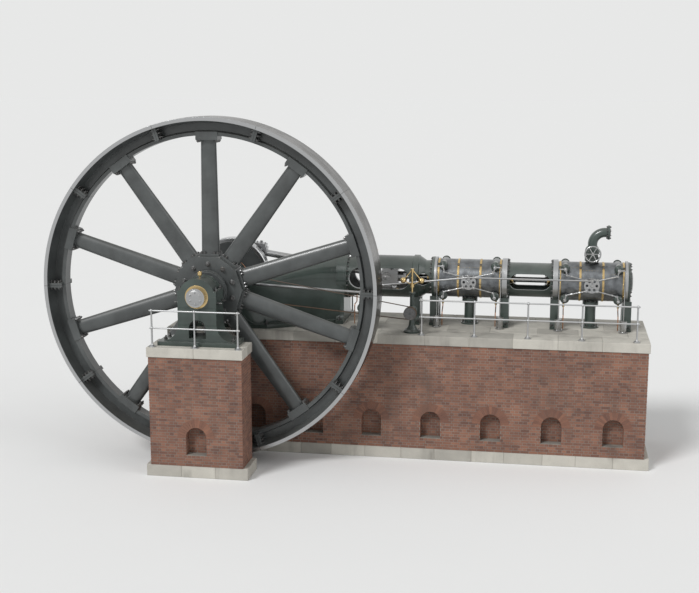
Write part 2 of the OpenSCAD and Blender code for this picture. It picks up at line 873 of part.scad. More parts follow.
module reach_rods() {
    y = -reach_y;
    mid = cylinder_l / 2;
    pin = [front_x0 + mid, pin_rise];
    lever = [rocker_x, rocker_rise - rocker_drop];
    color("#b9bdc1") eccentric_rod();
    color("#b9bdc1") translate([0, 0, axis_z]) difference() {
        union() {
            link(lever, pin, y, 26);
            link([rocker_x, -rocker_drop], lever, y, 36);
            link(pin, [rear_x0 + mid, pin_rise], y, 22);
            translate([rocker_x, 0, -rocker_drop]) bar_y(y - 40, y + 40, 115);
            translate([rocker_x, 0, lever[1]]) bar_y(y - 40, y + 40, 60);
            for (x = [front_x0, rear_x0])
                translate([x + mid, 0, pin_rise]) bar_y(y - 36, -gear_y - 24, 40);
        }
        translate([rocker_x, 0, -rocker_drop]) bar_y(y - 41, y + 41, 75);
    }
}

// Governor and its belt drive

governor_x = guide_x1 + 60;
governor_y = pier_near_y - 420;
governor_h = 1120;
// The belt drive: its plane, pulleys and belt, and the gear case on the governor's column
drive_y = main_y1 + 300;
drive_z = 620;
drive_case = 200;
drive_r = 360;
driven_r = 170;
pulley_w = 120;
belt_w = 90;
belt_t = 8;
belt_gap = 6;
drive_shaft_r = 32;
drive_collar = 25;

module governor_stand() {
    color("#2f4438") translate([governor_x, -governor_y, floor_z]) {
        rotate_extrude() polygon([
            [0, 0], [230, 0], [230, 50], [150, 90], [90, 200], [66, 420], [60, governor_h - 70],
            [95, governor_h - 40], [95, governor_h], [0, governor_h]
        ]);
        // Gear case with the bearing of the drive's shaft
        translate([0, 0, drive_z]) {
            sphere(130);
            bar_y(-drive_case, 0, 62);
            bar_y(-drive_case, -drive_case + 30, 84);
        }
    }
}

// Belt drive from the pulley on the crankshaft to the governor's own pulley
module governor_drive() {
    near = [0, shaft_rise];
    far = [governor_x, drive_z];
    y = -drive_y;
    color("#6b5a48") translate([0, 0, floor_z]) {
        across(y - belt_w / 2, y + belt_w / 2) difference() {
            hull() {
                translate(near) circle(drive_r + belt_gap + belt_t, $fn = 64);
                translate(far) circle(driven_r + belt_t, $fn = 48);
            }
            hull() {
                translate(near) circle(drive_r + belt_gap, $fn = 64);
                translate(far) circle(driven_r, $fn = 48);
            }
        }
        // The governor's pulley, held by the belt all round
        translate([far[0], 0, far[1]]) {
            bar_y(y - pulley_w / 2, y + pulley_w / 2, driven_r + belt_t / 2);
            bar_y(y - pulley_w / 2 - drive_collar, -governor_y - drive_case - seat_gap, drive_shaft_r);
            bar_y(y + pulley_w / 2, y + pulley_w / 2 + drive_collar, drive_shaft_r + 26);
        }
    }
}

module governor_head() {
    spindle_h = 620;
    sleeve_z = 140;
    ball_r = 80;
    ball_x = 240;
    ball_z = 330;
    color("#c6a052") translate([governor_x, -governor_y, floor_z + governor_h]) {
        cylinder(r = 26, h = spindle_h);
        translate([0, 0, spindle_h - 20]) cylinder(r = 50, h = 50);
        translate([0, 0, sleeve_z]) cylinder(r = 60, h = 90);
        for (s = [-1, 1]) {
            link([0, spindle_h], [s * ball_x, ball_z], 0, 13);
            link([0, sleeve_z + 50], [s * ball_x, ball_z], 0, 11);
            translate([s * (ball_x + 10), 0, ball_z - 10]) sphere(ball_r);
        }
    }
}

// Rails and oil cups

module rail_post() {
    post_top = rail_h - post_r;
    rotate_extrude() polygon([
        [0, 0], [post_foot_r, 0], [post_foot_r, post_foot_t], [2 * post_r, 2 * post_foot_t - 2],
        [post_r + 6, post_foot_r], [post_r + 2, post_top], [0, post_top]
    ]);
}

// A post's radius below the top rail, and its foot
post_r = 20;
post_foot_r = 90;
post_foot_t = 24;

// Rail runs: each is a start, an end and its number of bays
front_run = [[front_x0 - 200, -pier_near_y + 90], [rear_x1 + 200, -pier_near_y + 90], 4];
back_run = [[pier_x0 + 120, pier_back_y - 90], [guide_x0 + 200, pier_back_y - 90], 3];
outboard_run_y = -outboard_y1 - pier_margin + 70;
outboard_run = [[-outboard_x + 100, outboard_run_y], [outboard_x - 100, outboard_run_y], 2];
runs = [front_run, back_run, outboard_run];
rail_heights = [rail_h * 0.52, rail_h];

// Children at every post of a run
module post_places(run) {
    for (i = [0:run[2]])
        translate([run[0][0] + (run[1][0] - run[0][0]) * i / run[2], run[0][1], 0]) children();
}

module rail_bars(run, r) {
    for (z = rail_heights)
        translate([0, run[0][1], z]) bar_x(run[0][0] - 60, run[1][0] + 60, r);
}

module rail_posts() {
    color("#c9ccd0") translate([0, 0, floor_z])
        for (run = runs) difference() {
            post_places(run) {
                rail_post();
                for (z = rail_heights) translate([0, 0, z]) sphere(42);
            }
            rail_bars(run, rail_d / 2 + run_fit);
        }
}

module hand_rails() {
    color("#d8dadd") translate([0, 0, floor_z])
        for (run = runs) rail_bars(run, rail_d / 2);
}

module oil_cup() {
    rotate_extrude() polygon([
        [0, 0], [18, 0], [18, 30], [50, 50], [58, 70], [58, 150], [40, 165], [0, 170]
    ]);
}

module oil_cups() {
    cap_top = shaft_r + brass_t + cap_t;
    color("#c6a052") translate([0, 0, axis_z]) {
        for (y = [-main_y0 - main_l / 4, -main_y1 + main_l / 4]) translate([0, y, cap_top]) oil_cup();
        translate([0, -outboard_y, cap_top]) oil_cup();
        translate([crosshead_mid, 0, guide_out_r]) oil_cup();
    }
}

// Flywheel and crankshaft

// The rim's half section: crowned plate, web and inner bulb
module rim_section() {
    r0 = wheel_r - rim_depth;
    r1 = wheel_r - rim_plate;
    polygon([
        [r0, -170], [r0, 170], [r0 + 90, 190], [r0 + 130, 95], [r1 - 60, 80], [r1, rim_w / 2 - 60],
        [r1, rim_w / 2], [wheel_r - 10, rim_w / 2], [wheel_r, 0], [wheel_r - 10, -rim_w / 2],
        [r1, -rim_w / 2], [r1, -rim_w / 2 + 60], [r1 - 60, -80], [r0 + 130, -95], [r0 + 90, -190]
    ]);
}

module rim_segment() {
    r0 = wheel_r - rim_depth;
    split = joint_gap / wheel_r * 90 / PI;
    rotate(-arm_pitch / 2 + split) rotate_extrude(angle = arm_pitch - 2 * split, $fn = 96) rim_section();
    // Pad for the arm
    translate([r0 - 60, -arm_tip_w / 2 - pad_margin, -pad_w / 2])
        cube([160, arm_tip_w + 2 * pad_margin, pad_w]);
    // Bolting flanges at the joints
    for (s = [-1, 1])
        rotate(s * (arm_pitch / 2 - split)) translate([r0 + 60, s > 0 ? -60 : 0, -rim_w / 2 + 90])
            cube([rim_depth - rim_plate - 50, 60, rim_w - 180]);
}

module flywheel_rim() {
    color("#39424a") translate([0, -wheel_y, axis_z]) rotate([90, 0, 0])
        for (i = [0:arm_count - 1]) rotate(arm_angle + arm_pitch * i) rim_segment();
}

module oval(w, t) {
    resize([w, t]) circle(d = 100, $fn = 32);
}

module arm() {
    r1 = wheel_r - rim_depth - 60;
    foot_t = 70;
    pad_t = 60;
    hull() {
        translate([hub_flat + foot_t / 2, 0, 0])
            rotate([90, 0, 90]) linear_extrude(1) oval(arm_root_w, arm_t);
        translate([r1 - pad_t / 2, 0, 0])
            rotate([90, 0, 90]) linear_extrude(1) oval(arm_tip_w, arm_t * 0.84);
    }
    translate([hub_flat + seat_gap, -arm_root_w / 2 - 15, -arm_t / 2 - 60])
        cube([foot_t, arm_root_w + 30, arm_t + 120]);
    translate([r1 - pad_t - seat_gap, -arm_tip_w / 2 - pad_margin, -pad_w / 2])
        cube([pad_t, arm_tip_w + 2 * pad_margin, pad_w]);
}

module flywheel_arms() {
    color("#39424a") translate([0, -wheel_y, axis_z]) rotate([90, 0, 0])
        for (i = [0:arm_count - 1]) rotate(arm_angle + arm_pitch * i) arm();
}

module flywheel_hub() {
    barrel_r = hub_flat * 0.58;
    ring_w = 90;
    web_w = 620;
    color("#39424a") translate([0, -wheel_y, axis_z]) rotate([90, 0, 0]) difference() {
        union() {
            rotate(arm_angle + arm_pitch / 2)
                cylinder(r = hub_flat / cos(arm_pitch / 2), h = web_w, center = true, $fn = arm_count);
            cylinder(r = barrel_r, h = hub_l, center = true);
            // Shrink rings at both ends of the hub's barrel
            for (s = [-1, 1]) translate([0, 0, s * (hub_l / 2 - ring_w)])
                cylinder(r = barrel_r + 35, h = ring_w, center = true);
        }
        cylinder(r = shaft_r, h = hub_l + 2, center = true);
    }
}

module crankshaft() {
    color("#a9adb1") translate([0, 0, axis_z]) {
        bar_y(-shaft_end_y, -disc_y - disc_t, shaft_r);
        // Pulley that drives the governor's belt
        bar_y(-drive_y - pulley_w / 2, -drive_y + pulley_w / 2, drive_r);
    }
}

module crank_disc() {
    edge = 20;
    band = 120;
    sunk = 45;
    hub_r = 400;
    boss_r = 240;
    color("#8d9196") translate([0, 0, axis_z]) rotate([0, -crank_angle, 0]) translate([0, -disc_y, 0]) {
        turned_y() polygon([
            [0, -disc_t], [disc_r - edge, -disc_t], [disc_r, -disc_t + edge], [disc_r, -edge],
            [disc_r - edge, 0], [disc_r - band, 0], [disc_r - band - sunk, -sunk],
            [hub_r + sunk, -sunk], [hub_r, disc_boss], [0, disc_boss]
        ]);
        translate([crank_r, 0, 0]) bar_y(-sunk - 5, disc_boss, boss_r);
    }
}

// Crosshead, rods and pistons

module crosshead_frame() {
    translate([crosshead_x, 0, axis_z]) children();
}

module crosshead() {
    half = rod_end_t / 2 - 60;
    color("#8d9196") crosshead_frame() difference() {
        union() {
            // Two cheeks joined ahead of the pin
            for (s = [-1, 1])
                across(s > 0 ? half + 10 : -half - 110, s > 0 ? half + 110 : -half - 10) {
                    circle(210);
                    translate([0, -210]) square([330, 420]);
                    translate([-cheek_w / 2, -cheek_h]) square([cheek_w, 2 * cheek_h]);
                }
            across(-half - 110, half + 110) translate([190, -210]) square([140, 420]);
            bar_x(socket_end - 160, socket_end, rod_r + 70);
            bar_y(-half - 150, half + 150, crosshead_pin_d / 2 + 40);
            for (s = [-1, 1])
                translate([-slipper_l / 2 + 60, -half - 110, s > 0 ? cheek_h - shoe_t : -cheek_h])
                    cube([slipper_l - 120, 2 * half + 220, shoe_t]);
        }
        bar_y(-half - 10, half + 10, 250);
    }
    // The pin
    color("#b9bdc1") crosshead_frame() bar_y(-half - 10.5, half + 10.5, crosshead_pin_d / 2);
}

module crosshead_slippers() {
    color("#b08d45") crosshead_frame() for (s = [-1, 1]) intersection() {
        difference() {
            bar_x(-slipper_l / 2, slipper_l / 2, guide_r - seat_gap);
            translate([-slipper_l, -guide_r, -cheek_h]) cube([2 * slipper_l, 2 * guide_r, 2 * cheek_h]);
        }
        translate([-slipper_l, -slipper_w / 2, s > 0 ? 0 : -guide_r])
            cube([2 * slipper_l, slipper_w, guide_r]);
    }
}

module piston_rod() {
    x0 = crosshead_x + socket_end;
    color("#d8dadd") translate([0, 0, axis_z])
        bar_x(x0, rear_x0 + cylinder_l / 2 + crosshead_shift + piston_t / 2, rod_r);
}

module pistons() {
    color("#8d9196") translate([0, 0, axis_z])
        for (x0 = [front_x0, rear_x0])
            translate([x0 + cylinder_l / 2 + crosshead_shift - piston_t / 2, 0, 0]) difference() {
                bar_x(0, piston_t, bore_r - 0.5);
                bar_x(-1, piston_t + 1, rod_r);
            }
}

// Children are drawn along X with the crosshead pin at zero and the crank pin at -rod_length
module rod_frame() {
    translate([crosshead_x, 0, axis_z]) rotate([0, rod_tilt, 0]) children();
}

small_end_r = 175;
eye_half = rod_end_t / 2 - 60;
window_h = big_end_h - 2 * strap_t;

module connecting_rod() {
    stub_x = -rod_length + big_end_in;
    color("#b9bdc1") rod_frame() difference() {
        union() {
            // Round shank, fullest in the middle
            turned_x() polygon([
                [0, stub_x - 10], [100, stub_x - 10], [98, stub_x + 80], [96, stub_x + 300],
                [112, -rod_length * 0.52], [86, -330], [86, -150], [0, -150]
            ]);
            // Eye round the crosshead pin
            across(-eye_half, eye_half) {
                circle(small_end_r);
                translate([-330, -110]) square([250, 220]);
            }
            // Square stub that the strap is keyed to
            across(-rod_end_t / 2 + 10, rod_end_t / 2 - 10)
                translate([-rod_length + brass_in, -window_h / 2])
                    square([big_end_in - brass_in + 40, window_h]);
        }
        bar_y(-eye_half - 1, eye_half + 1, crosshead_pin_d / 2 + run_fit);
    }
}

module rod_straps() {
    // The strap goes round the crank pin's brasses and back along the stub
    corner = 110;
    key_w = 70;
    key_x = -rod_length + (brass_in + big_end_in) / 2;
    color("#b9bdc1") rod_frame() {
        across(-rod_end_t / 2, rod_end_t / 2) difference() {
            union() {
                translate([-rod_length - big_end_out + corner, -big_end_h / 2])
                    square([big_end_out + big_end_in - corner, big_end_h]);
                translate([-rod_length - big_end_out, -big_end_h / 2 + corner])
                    square([corner, big_end_h - 2 * corner]);
                for (s = [-1, 1])
                    translate([-rod_length - big_end_out + corner, s * (big_end_h / 2 - corner)])
                        circle(corner);
            }
            translate([-rod_length - brass_out, -window_h / 2])
                square([big_end_in + brass_out + 1, window_h]);
        }
        // Ends of the gib and cotter, standing out above and below
        for (s = [-1, 1]) translate([key_x - key_w / 2, -30, s > 0 ? big_end_h / 2 : -big_end_h / 2 - 70])
            cube([key_w, 60, 70]);
    }
}

module rod_brasses() {
    color("#b08d45") rod_frame() difference() {
        across(-rod_end_t / 2 - 6, rod_end_t / 2 + 6)
            translate([-rod_length - brass_out, -window_h / 2]) square([brass_out + brass_in, window_h]);
        translate([-rod_length, 0, 0]) bar_y(-rod_end_t, rod_end_t, crank_pin_d / 2 + run_fit);
    }
}

module crank_pin() {
    collar = 30;
    color("#d8dadd") rod_frame() translate([-rod_length, 0, 0]) {
        bar_y(-disc_y + disc_boss + pin_gap, rod_end_t / 2 + collar, crank_pin_d / 2);
        bar_y(rod_end_t / 2 + 7, rod_end_t / 2 + 7 + collar, crank_pin_d / 2 + 40);
    }
}

foundation_piers();
footings();
pier_coping();
engine_bed();
crosshead_guide();
bearing_caps();
bearing_brasses();
outboard_pedestal();
front_cylinder();
rear_cylinder();
lagging();
lagging_bands();
distance_piece();
cylinder_covers();
cylinder_feet();
stuffing_boxes();
steam_elbow();
stop_valve_wheel();
exhaust_pipes();
valve_bonnets();
wrist_plates();
valve_links();
dashpots();
eccentric();
rocker_stand();
reach_rods();
governor_stand();
governor_drive();
governor_head();
rail_posts();
hand_rails();
oil_cups();
flywheel_rim();
flywheel_arms();
flywheel_hub();
crankshaft();
crank_disc();
crosshead();
crosshead_slippers();
piston_rod();
pistons();
connecting_rod();
rod_straps();
rod_brasses();
crank_pin();
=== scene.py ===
import math
import random
from itertools import product

import bpy
from bpy.props import FloatProperty, FloatVectorProperty, IntProperty, PointerProperty
from bpy.types import Operator, Panel, PropertyGroup
from mathutils import Matrix, Vector


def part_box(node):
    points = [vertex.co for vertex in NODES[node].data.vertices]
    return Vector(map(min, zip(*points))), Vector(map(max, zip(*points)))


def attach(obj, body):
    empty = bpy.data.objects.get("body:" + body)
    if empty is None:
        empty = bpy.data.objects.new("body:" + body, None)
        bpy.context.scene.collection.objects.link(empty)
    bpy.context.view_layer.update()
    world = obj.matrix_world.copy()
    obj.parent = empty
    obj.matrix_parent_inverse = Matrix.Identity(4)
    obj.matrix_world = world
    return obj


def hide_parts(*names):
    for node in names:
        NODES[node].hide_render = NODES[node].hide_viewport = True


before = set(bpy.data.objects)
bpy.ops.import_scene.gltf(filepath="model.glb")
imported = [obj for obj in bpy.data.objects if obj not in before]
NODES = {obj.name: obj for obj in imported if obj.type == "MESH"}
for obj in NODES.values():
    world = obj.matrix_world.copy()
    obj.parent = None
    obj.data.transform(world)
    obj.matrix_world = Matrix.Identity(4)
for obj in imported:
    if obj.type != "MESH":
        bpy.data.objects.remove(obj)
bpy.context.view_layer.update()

bl_info = {
    "name": "Horizontal steam engine",
    "version": (1, 0, 0),
    "blender": (4, 5, 0),
    "location": "3D View > Sidebar > Engine",
    "description": "Dresses the packed engine with brickwork, fastenings, pipes and finishes",
    "category": "Object",
}

X, Y, Z = 0, 1, 2
UP = Vector((0, 0, 1))
HERE = Matrix.Identity(4)


def middle(box, axis):
    """The middle of a box along one axis."""
    low, high = box
    return (low[axis] + high[axis]) / 2


# Main places in metres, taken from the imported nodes
SHAFT_Z = middle(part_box("crankshaft"), Z)
FLOOR_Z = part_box("pier_coping")[1].z
WHEEL_Y = middle(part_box("flywheel_rim"), Y)
WHEEL_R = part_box("flywheel_rim")[1].z - SHAFT_Z
CYLINDER_LINE = (0.0, 0.0, SHAFT_Z)
WHEEL_CENTRE = (0.0, WHEEL_Y, SHAFT_Z)
PIN = tuple(middle(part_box("crank_pin"), axis) for axis in (X, Y, Z))
GOVERNOR = tuple(middle(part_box("governor_head"), axis) for axis in (X, Y, Z))
ROCKER_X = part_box("rocker_stand")[0].x + 0.26
FRONT_X0, FRONT_X1 = (corner.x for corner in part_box("front_cylinder"))
REAR_X0, REAR_X1 = (corner.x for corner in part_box("rear_cylinder"))
CYLINDERS = ((FRONT_X0, FRONT_X1), (REAR_X0, REAR_X1))

# Flywheel: how many arms, the angle between two of them, and the first one's angle
ARMS = 10
ARM_PITCH = 2 * math.pi / ARMS
FIRST_ARM = math.radians(18)
# Crosshead guide: where its bore starts and ends
GUIDE_X0, GUIDE_X1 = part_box("crosshead_guide")[0].x, 5.26
# Face of the main bearing on the wheel's side
BEARING_FACE_Y = -1.66
# Radii of the cylinders' flanges and lagging, and of the governor's own pulley
FLANGE_R, LAGGING_R, DRIVEN_R = 0.59, 0.54, 0.178
# Thickness of the flanges of the guide and cylinders, and of the pipes
FLANGE_T, PIPE_FLANGE_T = 0.07, 0.045
# Valves: how far in from a cylinder's end, and how far above and below its line
VALVE_IN, VALVE_Z = 0.26, 0.426
# Crank's throw and angle at rest, and the connecting rod between its centres
CRANK_R, CRANK_ANGLE, ROD_L = 0.76, math.radians(60), 4.1
ROD_TILT = math.asin(CRANK_R * math.sin(CRANK_ANGLE) / ROD_L)
CROSSHEAD_X = CRANK_R * math.cos(CRANK_ANGLE) + ROD_L * math.cos(ROD_TILT)
# Castings are shaded as one curve up to the angle CREASE, and small pieces up to SHARP
CREASE, SHARP = math.radians(30), math.radians(35)
# Points of a casting this close are one
WELD = 0.000001
QUARTER = math.pi / 2


def colour(name, description, value):
    """A colour setting."""
    return FloatVectorProperty(name=name, description=description, subtype="COLOR", size=3,
                               min=0.0, max=1.0, default=value)


def length(name, description, value):
    """A length setting in metres."""
    return FloatProperty(name=name, description=description, unit="LENGTH", min=0.0, default=value)


def share(name, description, value):
    """A setting from none to all."""
    return FloatProperty(name=name, description=description, subtype="FACTOR", min=0.0, max=1.0,
                         default=value)


def strength(name, description, value):
    """The strength of a light."""
    return FloatProperty(name=name, description=description, min=0.0, default=value)


class FinishSettings(PropertyGroup):
    """Colours and wear of the engine's surfaces."""

    enamel: colour("Enamel", "Paint of the engine's castings", (0.04, 0.058, 0.05))
    wheel_paint: colour("Wheel paint", "Paint of the flywheel", (0.062, 0.068, 0.068))
    steel: colour("Bright steel", "Machined steel", (0.44, 0.445, 0.45))
    lagging: colour("Lagging", "Planished sheet round the cylinders", (0.17, 0.18, 0.19))
    brass: colour("Brass", "Polished brass", (0.66, 0.49, 0.24))
    copper: colour("Copper", "Oil pipes", (0.62, 0.33, 0.2))
    brick_light: colour("Lighter brick", "Lighter bricks of the piers", (0.3, 0.142, 0.09))
    brick_dark: colour("Darker brick", "Darker bricks of the piers", (0.11, 0.054, 0.042))
    mortar: colour("Mortar", "Joints between the bricks", (0.3, 0.28, 0.25))
    stone: colour("Stone", "Coping and footings", (0.5, 0.48, 0.43))
    dust: colour("Dust", "Dust on level surfaces", (0.22, 0.21, 0.19))
    wear: share("Wear", "How far edges are rubbed bright", 0.45)
    dirt: share("Dirt", "How much dust and oil lies on the engine", 0.3)


class SizeSettings(PropertyGroup):
    """Sizes of bricks, slabs and fastenings."""

    brick_l: length("Brick length", "Length of a brick with its joint", 0.235)
    brick_joint: length("Joint", "Thickness of a mortar joint", 0.01)
    brick_courses: IntProperty(name="Courses", description="Courses of brick in a pier", min=10, default=39)
    brick_proud: length("Brick proud", "How far bricks stand proud of their mortar", 0.006)
    slab_joint: length("Slab joint", "Gap between stone slabs", 0.007)
    slab_chamfer: length("Slab chamfer", "Worn edge of a stone slab", 0.012)
    flange_nut: length("Flange nut", "Width across a flange nut", 0.05)
    anchor_nut: length("Anchor nut", "Width across a foundation bolt's nut", 0.075)
    cap_nut: length("Cap nut", "Width across a bearing cap's nut", 0.088)


class StageSettings(PropertyGroup):
    """Floor, light and camera."""

    floor: colour("Floor", "Pale floor round the engine", (0.8075, 0.81, 0.8077))
    sky: strength("Sky light", "Strength of the even light", 0.55)
    backdrop: strength("Backdrop", "Brightness behind the engine", 0.862)
    key: strength("Key light", "Strength of the main lamp", 1.9)
    fill: strength("Fill light", "Strength of the second lamp", 0.5)
    lens: FloatProperty(name="Lens", description="Focal length in millimetres", min=1.0, default=62.0)


def looks():
    return bpy.context.scene.engine_finish


def sizes():
    return bpy.context.scene.engine_sizes


# Node trees


def node(tree, kind, props=None, **inputs):
    """Adds a shader node. An input is a value or another node's output; iN means input number N."""
    made = tree.nodes.new("ShaderNode" + kind)
    for key, value in (props or {}).items():
        setattr(made, key, value)
    for key, value in inputs.items():
        number = key[1:]
        socket = made.inputs[int(number) if key[0] == "i" and number.isdigit() else key.replace("_", " ")]
        if isinstance(value, bpy.types.NodeSocket):
            tree.links.new(value, socket)
        else:
            socket.default_value = value
    return made


def connect(tree, target, **sources):
    """Links outputs to a node's named inputs."""
    for key, value in sources.items():
        tree.links.new(value, target.inputs[key.replace("_", " ")])


def maths(tree, operation, a, b=0.0):
    """The result of a sum on two numbers."""
    return node(tree, "Math", {"operation": operation}, i0=a, i1=b).outputs[0]


def times(tree, *factors):
    """The product of several numbers."""
    product = factors[0]
    for factor in factors[1:]:
        product = maths(tree, "MULTIPLY", product, factor)
    return product


def vector_maths(tree, operation, a, b=(0.0, 0.0, 0.0)):
    """The result of a sum on two vectors, which is a number for a length or a dot product."""
    made = node(tree, "VectorMath", {"operation": operation}, i0=a, i1=b)
    return made.outputs["Value" if operation in ("LENGTH", "DOT_PRODUCT") else "Vector"]


def spread(tree, value, low, high, to_low=0.0, to_high=1.0):
    """A number brought from one range to another, and held there."""
    return node(tree, "MapRange", None, i0=value, i1=low, i2=high, i3=to_low, i4=to_high).outputs[0]


def mix_colour(tree, factor, a, b):
    colours = [value if isinstance(value, bpy.types.NodeSocket) else (*value, 1.0) for value in (a, b)]
    return node(tree, "Mix", {"data_type": "RGBA"}, i0=factor, i6=colours[0], i7=colours[1]).outputs[2]


def mix_number(tree, factor, a, b):
    return node(tree, "Mix", {"data_type": "FLOAT"}, i0=factor, i2=a, i3=b).outputs[0]


def noise(tree, where, scale, detail=4.0, rough=0.55):
    return node(tree, "TexNoise", None, Vector=where, Scale=scale, Detail=detail, Roughness=rough).outputs[0]


def object_place(tree, axis=None):
    """The point of the piece in the shared frame, or that point's place along one axis."""
    place = node(tree, "TexCoord").outputs["Object"]
    return place if axis is None else node(tree, "SeparateXYZ", None, i0=place).outputs[axis]


def shader_group(name, inputs, outputs):
    """An empty node group with named sockets, and its two end nodes."""
    tree = bpy.data.node_groups.new(name, "ShaderNodeTree")
    for label, kind, value in inputs:
        socket = tree.interface.new_socket(label, in_out="INPUT", socket_type="NodeSocket" + kind)
        socket.default_value = value
    for label, kind in outputs:
        tree.interface.new_socket(label, in_out="OUTPUT", socket_type="NodeSocket" + kind)
    return tree, tree.nodes.new("NodeGroupInput").outputs, tree.nodes.new("NodeGroupOutput")


def wear_group():
    """Edges rubbed bare, and a normal that rounds them."""
    inputs = [("Amount", "Float", 0.5), ("Radius", "Float", 0.006), ("Scale", "Float", 6.0)]
    tree, given, out = shader_group("Edge wear", inputs, [("Mask", "Float"), ("Normal", "Vector")])
    bevel = node(tree, "Bevel", {"samples": 4}, Radius=given["Radius"]).outputs[0]
    turn = vector_maths(tree, "DOT_PRODUCT", bevel, node(tree, "NewGeometry").outputs["Normal"])
    edge = spread(tree, turn, 0.985, 0.86)
    patch = spread(tree, noise(tree, object_place(tree), given["Scale"], 6.0, 0.65), 0.42, 0.62)
    connect(tree, out, Mask=times(tree, edge, patch, given["Amount"]), Normal=bevel)
    return tree


def dust_group():
    """Dust lying on surfaces that face up, held in the piece's own axes."""
    inputs = [("Amount", "Float", 0.5), ("Scale", "Float", 3.0)]
    tree, given, out = shader_group("Dust", inputs, [("Mask", "Float")])
    facing_up = node(tree, "SeparateXYZ", None, i0=node(tree, "TexCoord").outputs["Normal"]).outputs["Z"]
    level = spread(tree, facing_up, 0.35, 0.95)
    patch = spread(tree, noise(tree, object_place(tree), given["Scale"], 7.0, 0.6), 0.3, 0.7, 0.35)
    connect(tree, out, Mask=times(tree, level, patch, given["Amount"]))
    return tree


def streak_group():
    """Oil and dirt that has run down."""
    inputs = [("Amount", "Float", 0.5), ("Scale", "Float", 4.0)]
    tree, given, out = shader_group("Oil streaks", inputs, [("Mask", "Float")])
    drawn = node(tree, "Mapping", None, i0=object_place(tree), Scale=(1.0, 1.0, 0.12)).outputs[0]
    runs = spread(tree, noise(tree, drawn, given["Scale"], 5.0, 0.6), 0.5, 0.72)
    clouds = spread(tree, noise(tree, object_place(tree), 1.3, 3.0), 0.4, 0.65)
    connect(tree, out, Mask=times(tree, runs, clouds, given["Amount"]))
    return tree


def turned_group():
    """Rings left by the lathe round an axis through Centre. Across is 0 along the axis and 1 elsewhere."""
    inputs = [("Centre", "Vector", (0.0, 0.0, 0.0)), ("Across", "Vector", (1.0, 0.0, 1.0)),
              ("Pitch", "Float", 160.0)]
    tree, given, out = shader_group("Turning marks", inputs, [("Height", "Float"), ("Radius", "Float")])
    shifted = vector_maths(tree, "SUBTRACT", object_place(tree), given["Centre"])
    radial = vector_maths(tree, "MULTIPLY", shifted, given["Across"])
    radius = vector_maths(tree, "LENGTH", radial)
    run = vector_maths(tree, "LENGTH", vector_maths(tree, "SUBTRACT", shifted, radial))
    both = maths(tree, "ADD", radius, run)
    rings = node(tree, "TexNoise", {"noise_dimensions": "1D"}, W=both, Scale=given["Pitch"], Detail=3.0)
    connect(tree, out, Height=rings.outputs[0], Radius=radius)
    return tree


def grain_group():
    """Uneven cast or trowelled surface, from broad waves to fine grain."""
    inputs = [("Scale", "Float", 30.0), ("Stretch", "Vector", (1.0, 1.0, 1.0))]
    tree, given, out = shader_group("Surface grain", inputs, [("Height", "Float"), ("Clouds", "Float")])
    drawn = vector_maths(tree, "MULTIPLY", object_place(tree), given["Stretch"])
    fine = noise(tree, drawn, given["Scale"], 5.0, 0.6)
    broad = noise(tree, drawn, 1.7, 4.0, 0.55)
    connect(tree, out, Height=maths(tree, "ADD", fine, broad), Clouds=broad)
    return tree


GROUP_MAKERS = {"wear": wear_group, "dust": dust_group, "streaks": streak_group,
                "turned": turned_group, "grain": grain_group}
GROUPS = {}


def use(tree, name, **inputs):
    """Places one of the shared groups in a material, and builds it at its first use."""
    if name not in GROUPS:
        GROUPS[name] = GROUP_MAKERS[name]()
    made = tree.nodes.new("ShaderNodeGroup")
    made.node_tree = GROUPS[name]
    for key, value in inputs.items():
        made.inputs[key].default_value = value
    return made.outputs


def surface(name, **fixed):
    """A new material and its shader, with plain values set on the shader's own sockets."""
    material = bpy.data.materials.new(name)
    material.use_nodes = True
    tree = material.node_tree
    shader = tree.nodes["Principled BSDF"]
    for key, value in fixed.items():
        shader.inputs[key.replace("_", " ")].default_value = value
    return material, tree, shader


def bump(tree, height, normal=None, distance=0.002, strength=0.6):
    made = node(tree, "Bump", None, Height=height, Distance=distance, Strength=strength)
    if normal is not None:
        connect(tree, made, Normal=normal)
    return made.outputs[0]


def shade(tint, factor, lift=0.0):
    """A colour made darker or lighter."""
    return tuple(min(1.0, c * factor + lift) for c in tint)


# Masks of faces that are machined or bare

ALONG_X = (0.0, 1.0, 1.0)
ALONG_Y = (1.0, 0.0, 1.0)
ALONG_Z = (1.0, 1.0, 0.0)
OILY_IRON = (0.09, 0.085, 0.08)
BLACK_OIL = (0.014, 0.012, 0.01)
JOINT_DIRT = (0.012, 0.011, 0.01)


def axis_distance(tree, centre, across):
    """How far a point is from an axis, in metres."""
    return use(tree, "turned", Centre=centre, Across=across)["Radius"]


def bright_bore(tree):
    """Machined inside of the crosshead guide, up to where its neck begins."""
    bore = spread(tree, axis_distance(tree, CYLINDER_LINE, ALONG_X), 0.502, 0.499)
    return times(tree, bore, spread(tree, object_place(tree, "X"), GUIDE_X1 + 0.004, GUIDE_X1))


def bright_flange(tree):
    """Turned edges of the flanges at the cylinders' ends."""
    along = object_place(tree, "X")
    near = 0.0
    for x in (FRONT_X0, FRONT_X1, REAR_X0, REAR_X1):
        away = maths(tree, "ABSOLUTE", maths(tree, "SUBTRACT", along, x))
        near = maths(tree, "MAXIMUM", near, spread(tree, away, FLANGE_T + 0.011, FLANGE_T + 0.008))
    edge = spread(tree, axis_distance(tree, CYLINDER_LINE, ALONG_X), FLANGE_R - 0.012, FLANGE_R - 0.009)
    return times(tree, near, edge)


def bright_disc(tree):
    """Turned band at the crank disc's edge and its boss."""
    distance = axis_distance(tree, CYLINDER_LINE, ALONG_Y)
    return maths(tree, "MAXIMUM", spread(tree, distance, 0.95, 0.953), spread(tree, distance, 0.42, 0.417))


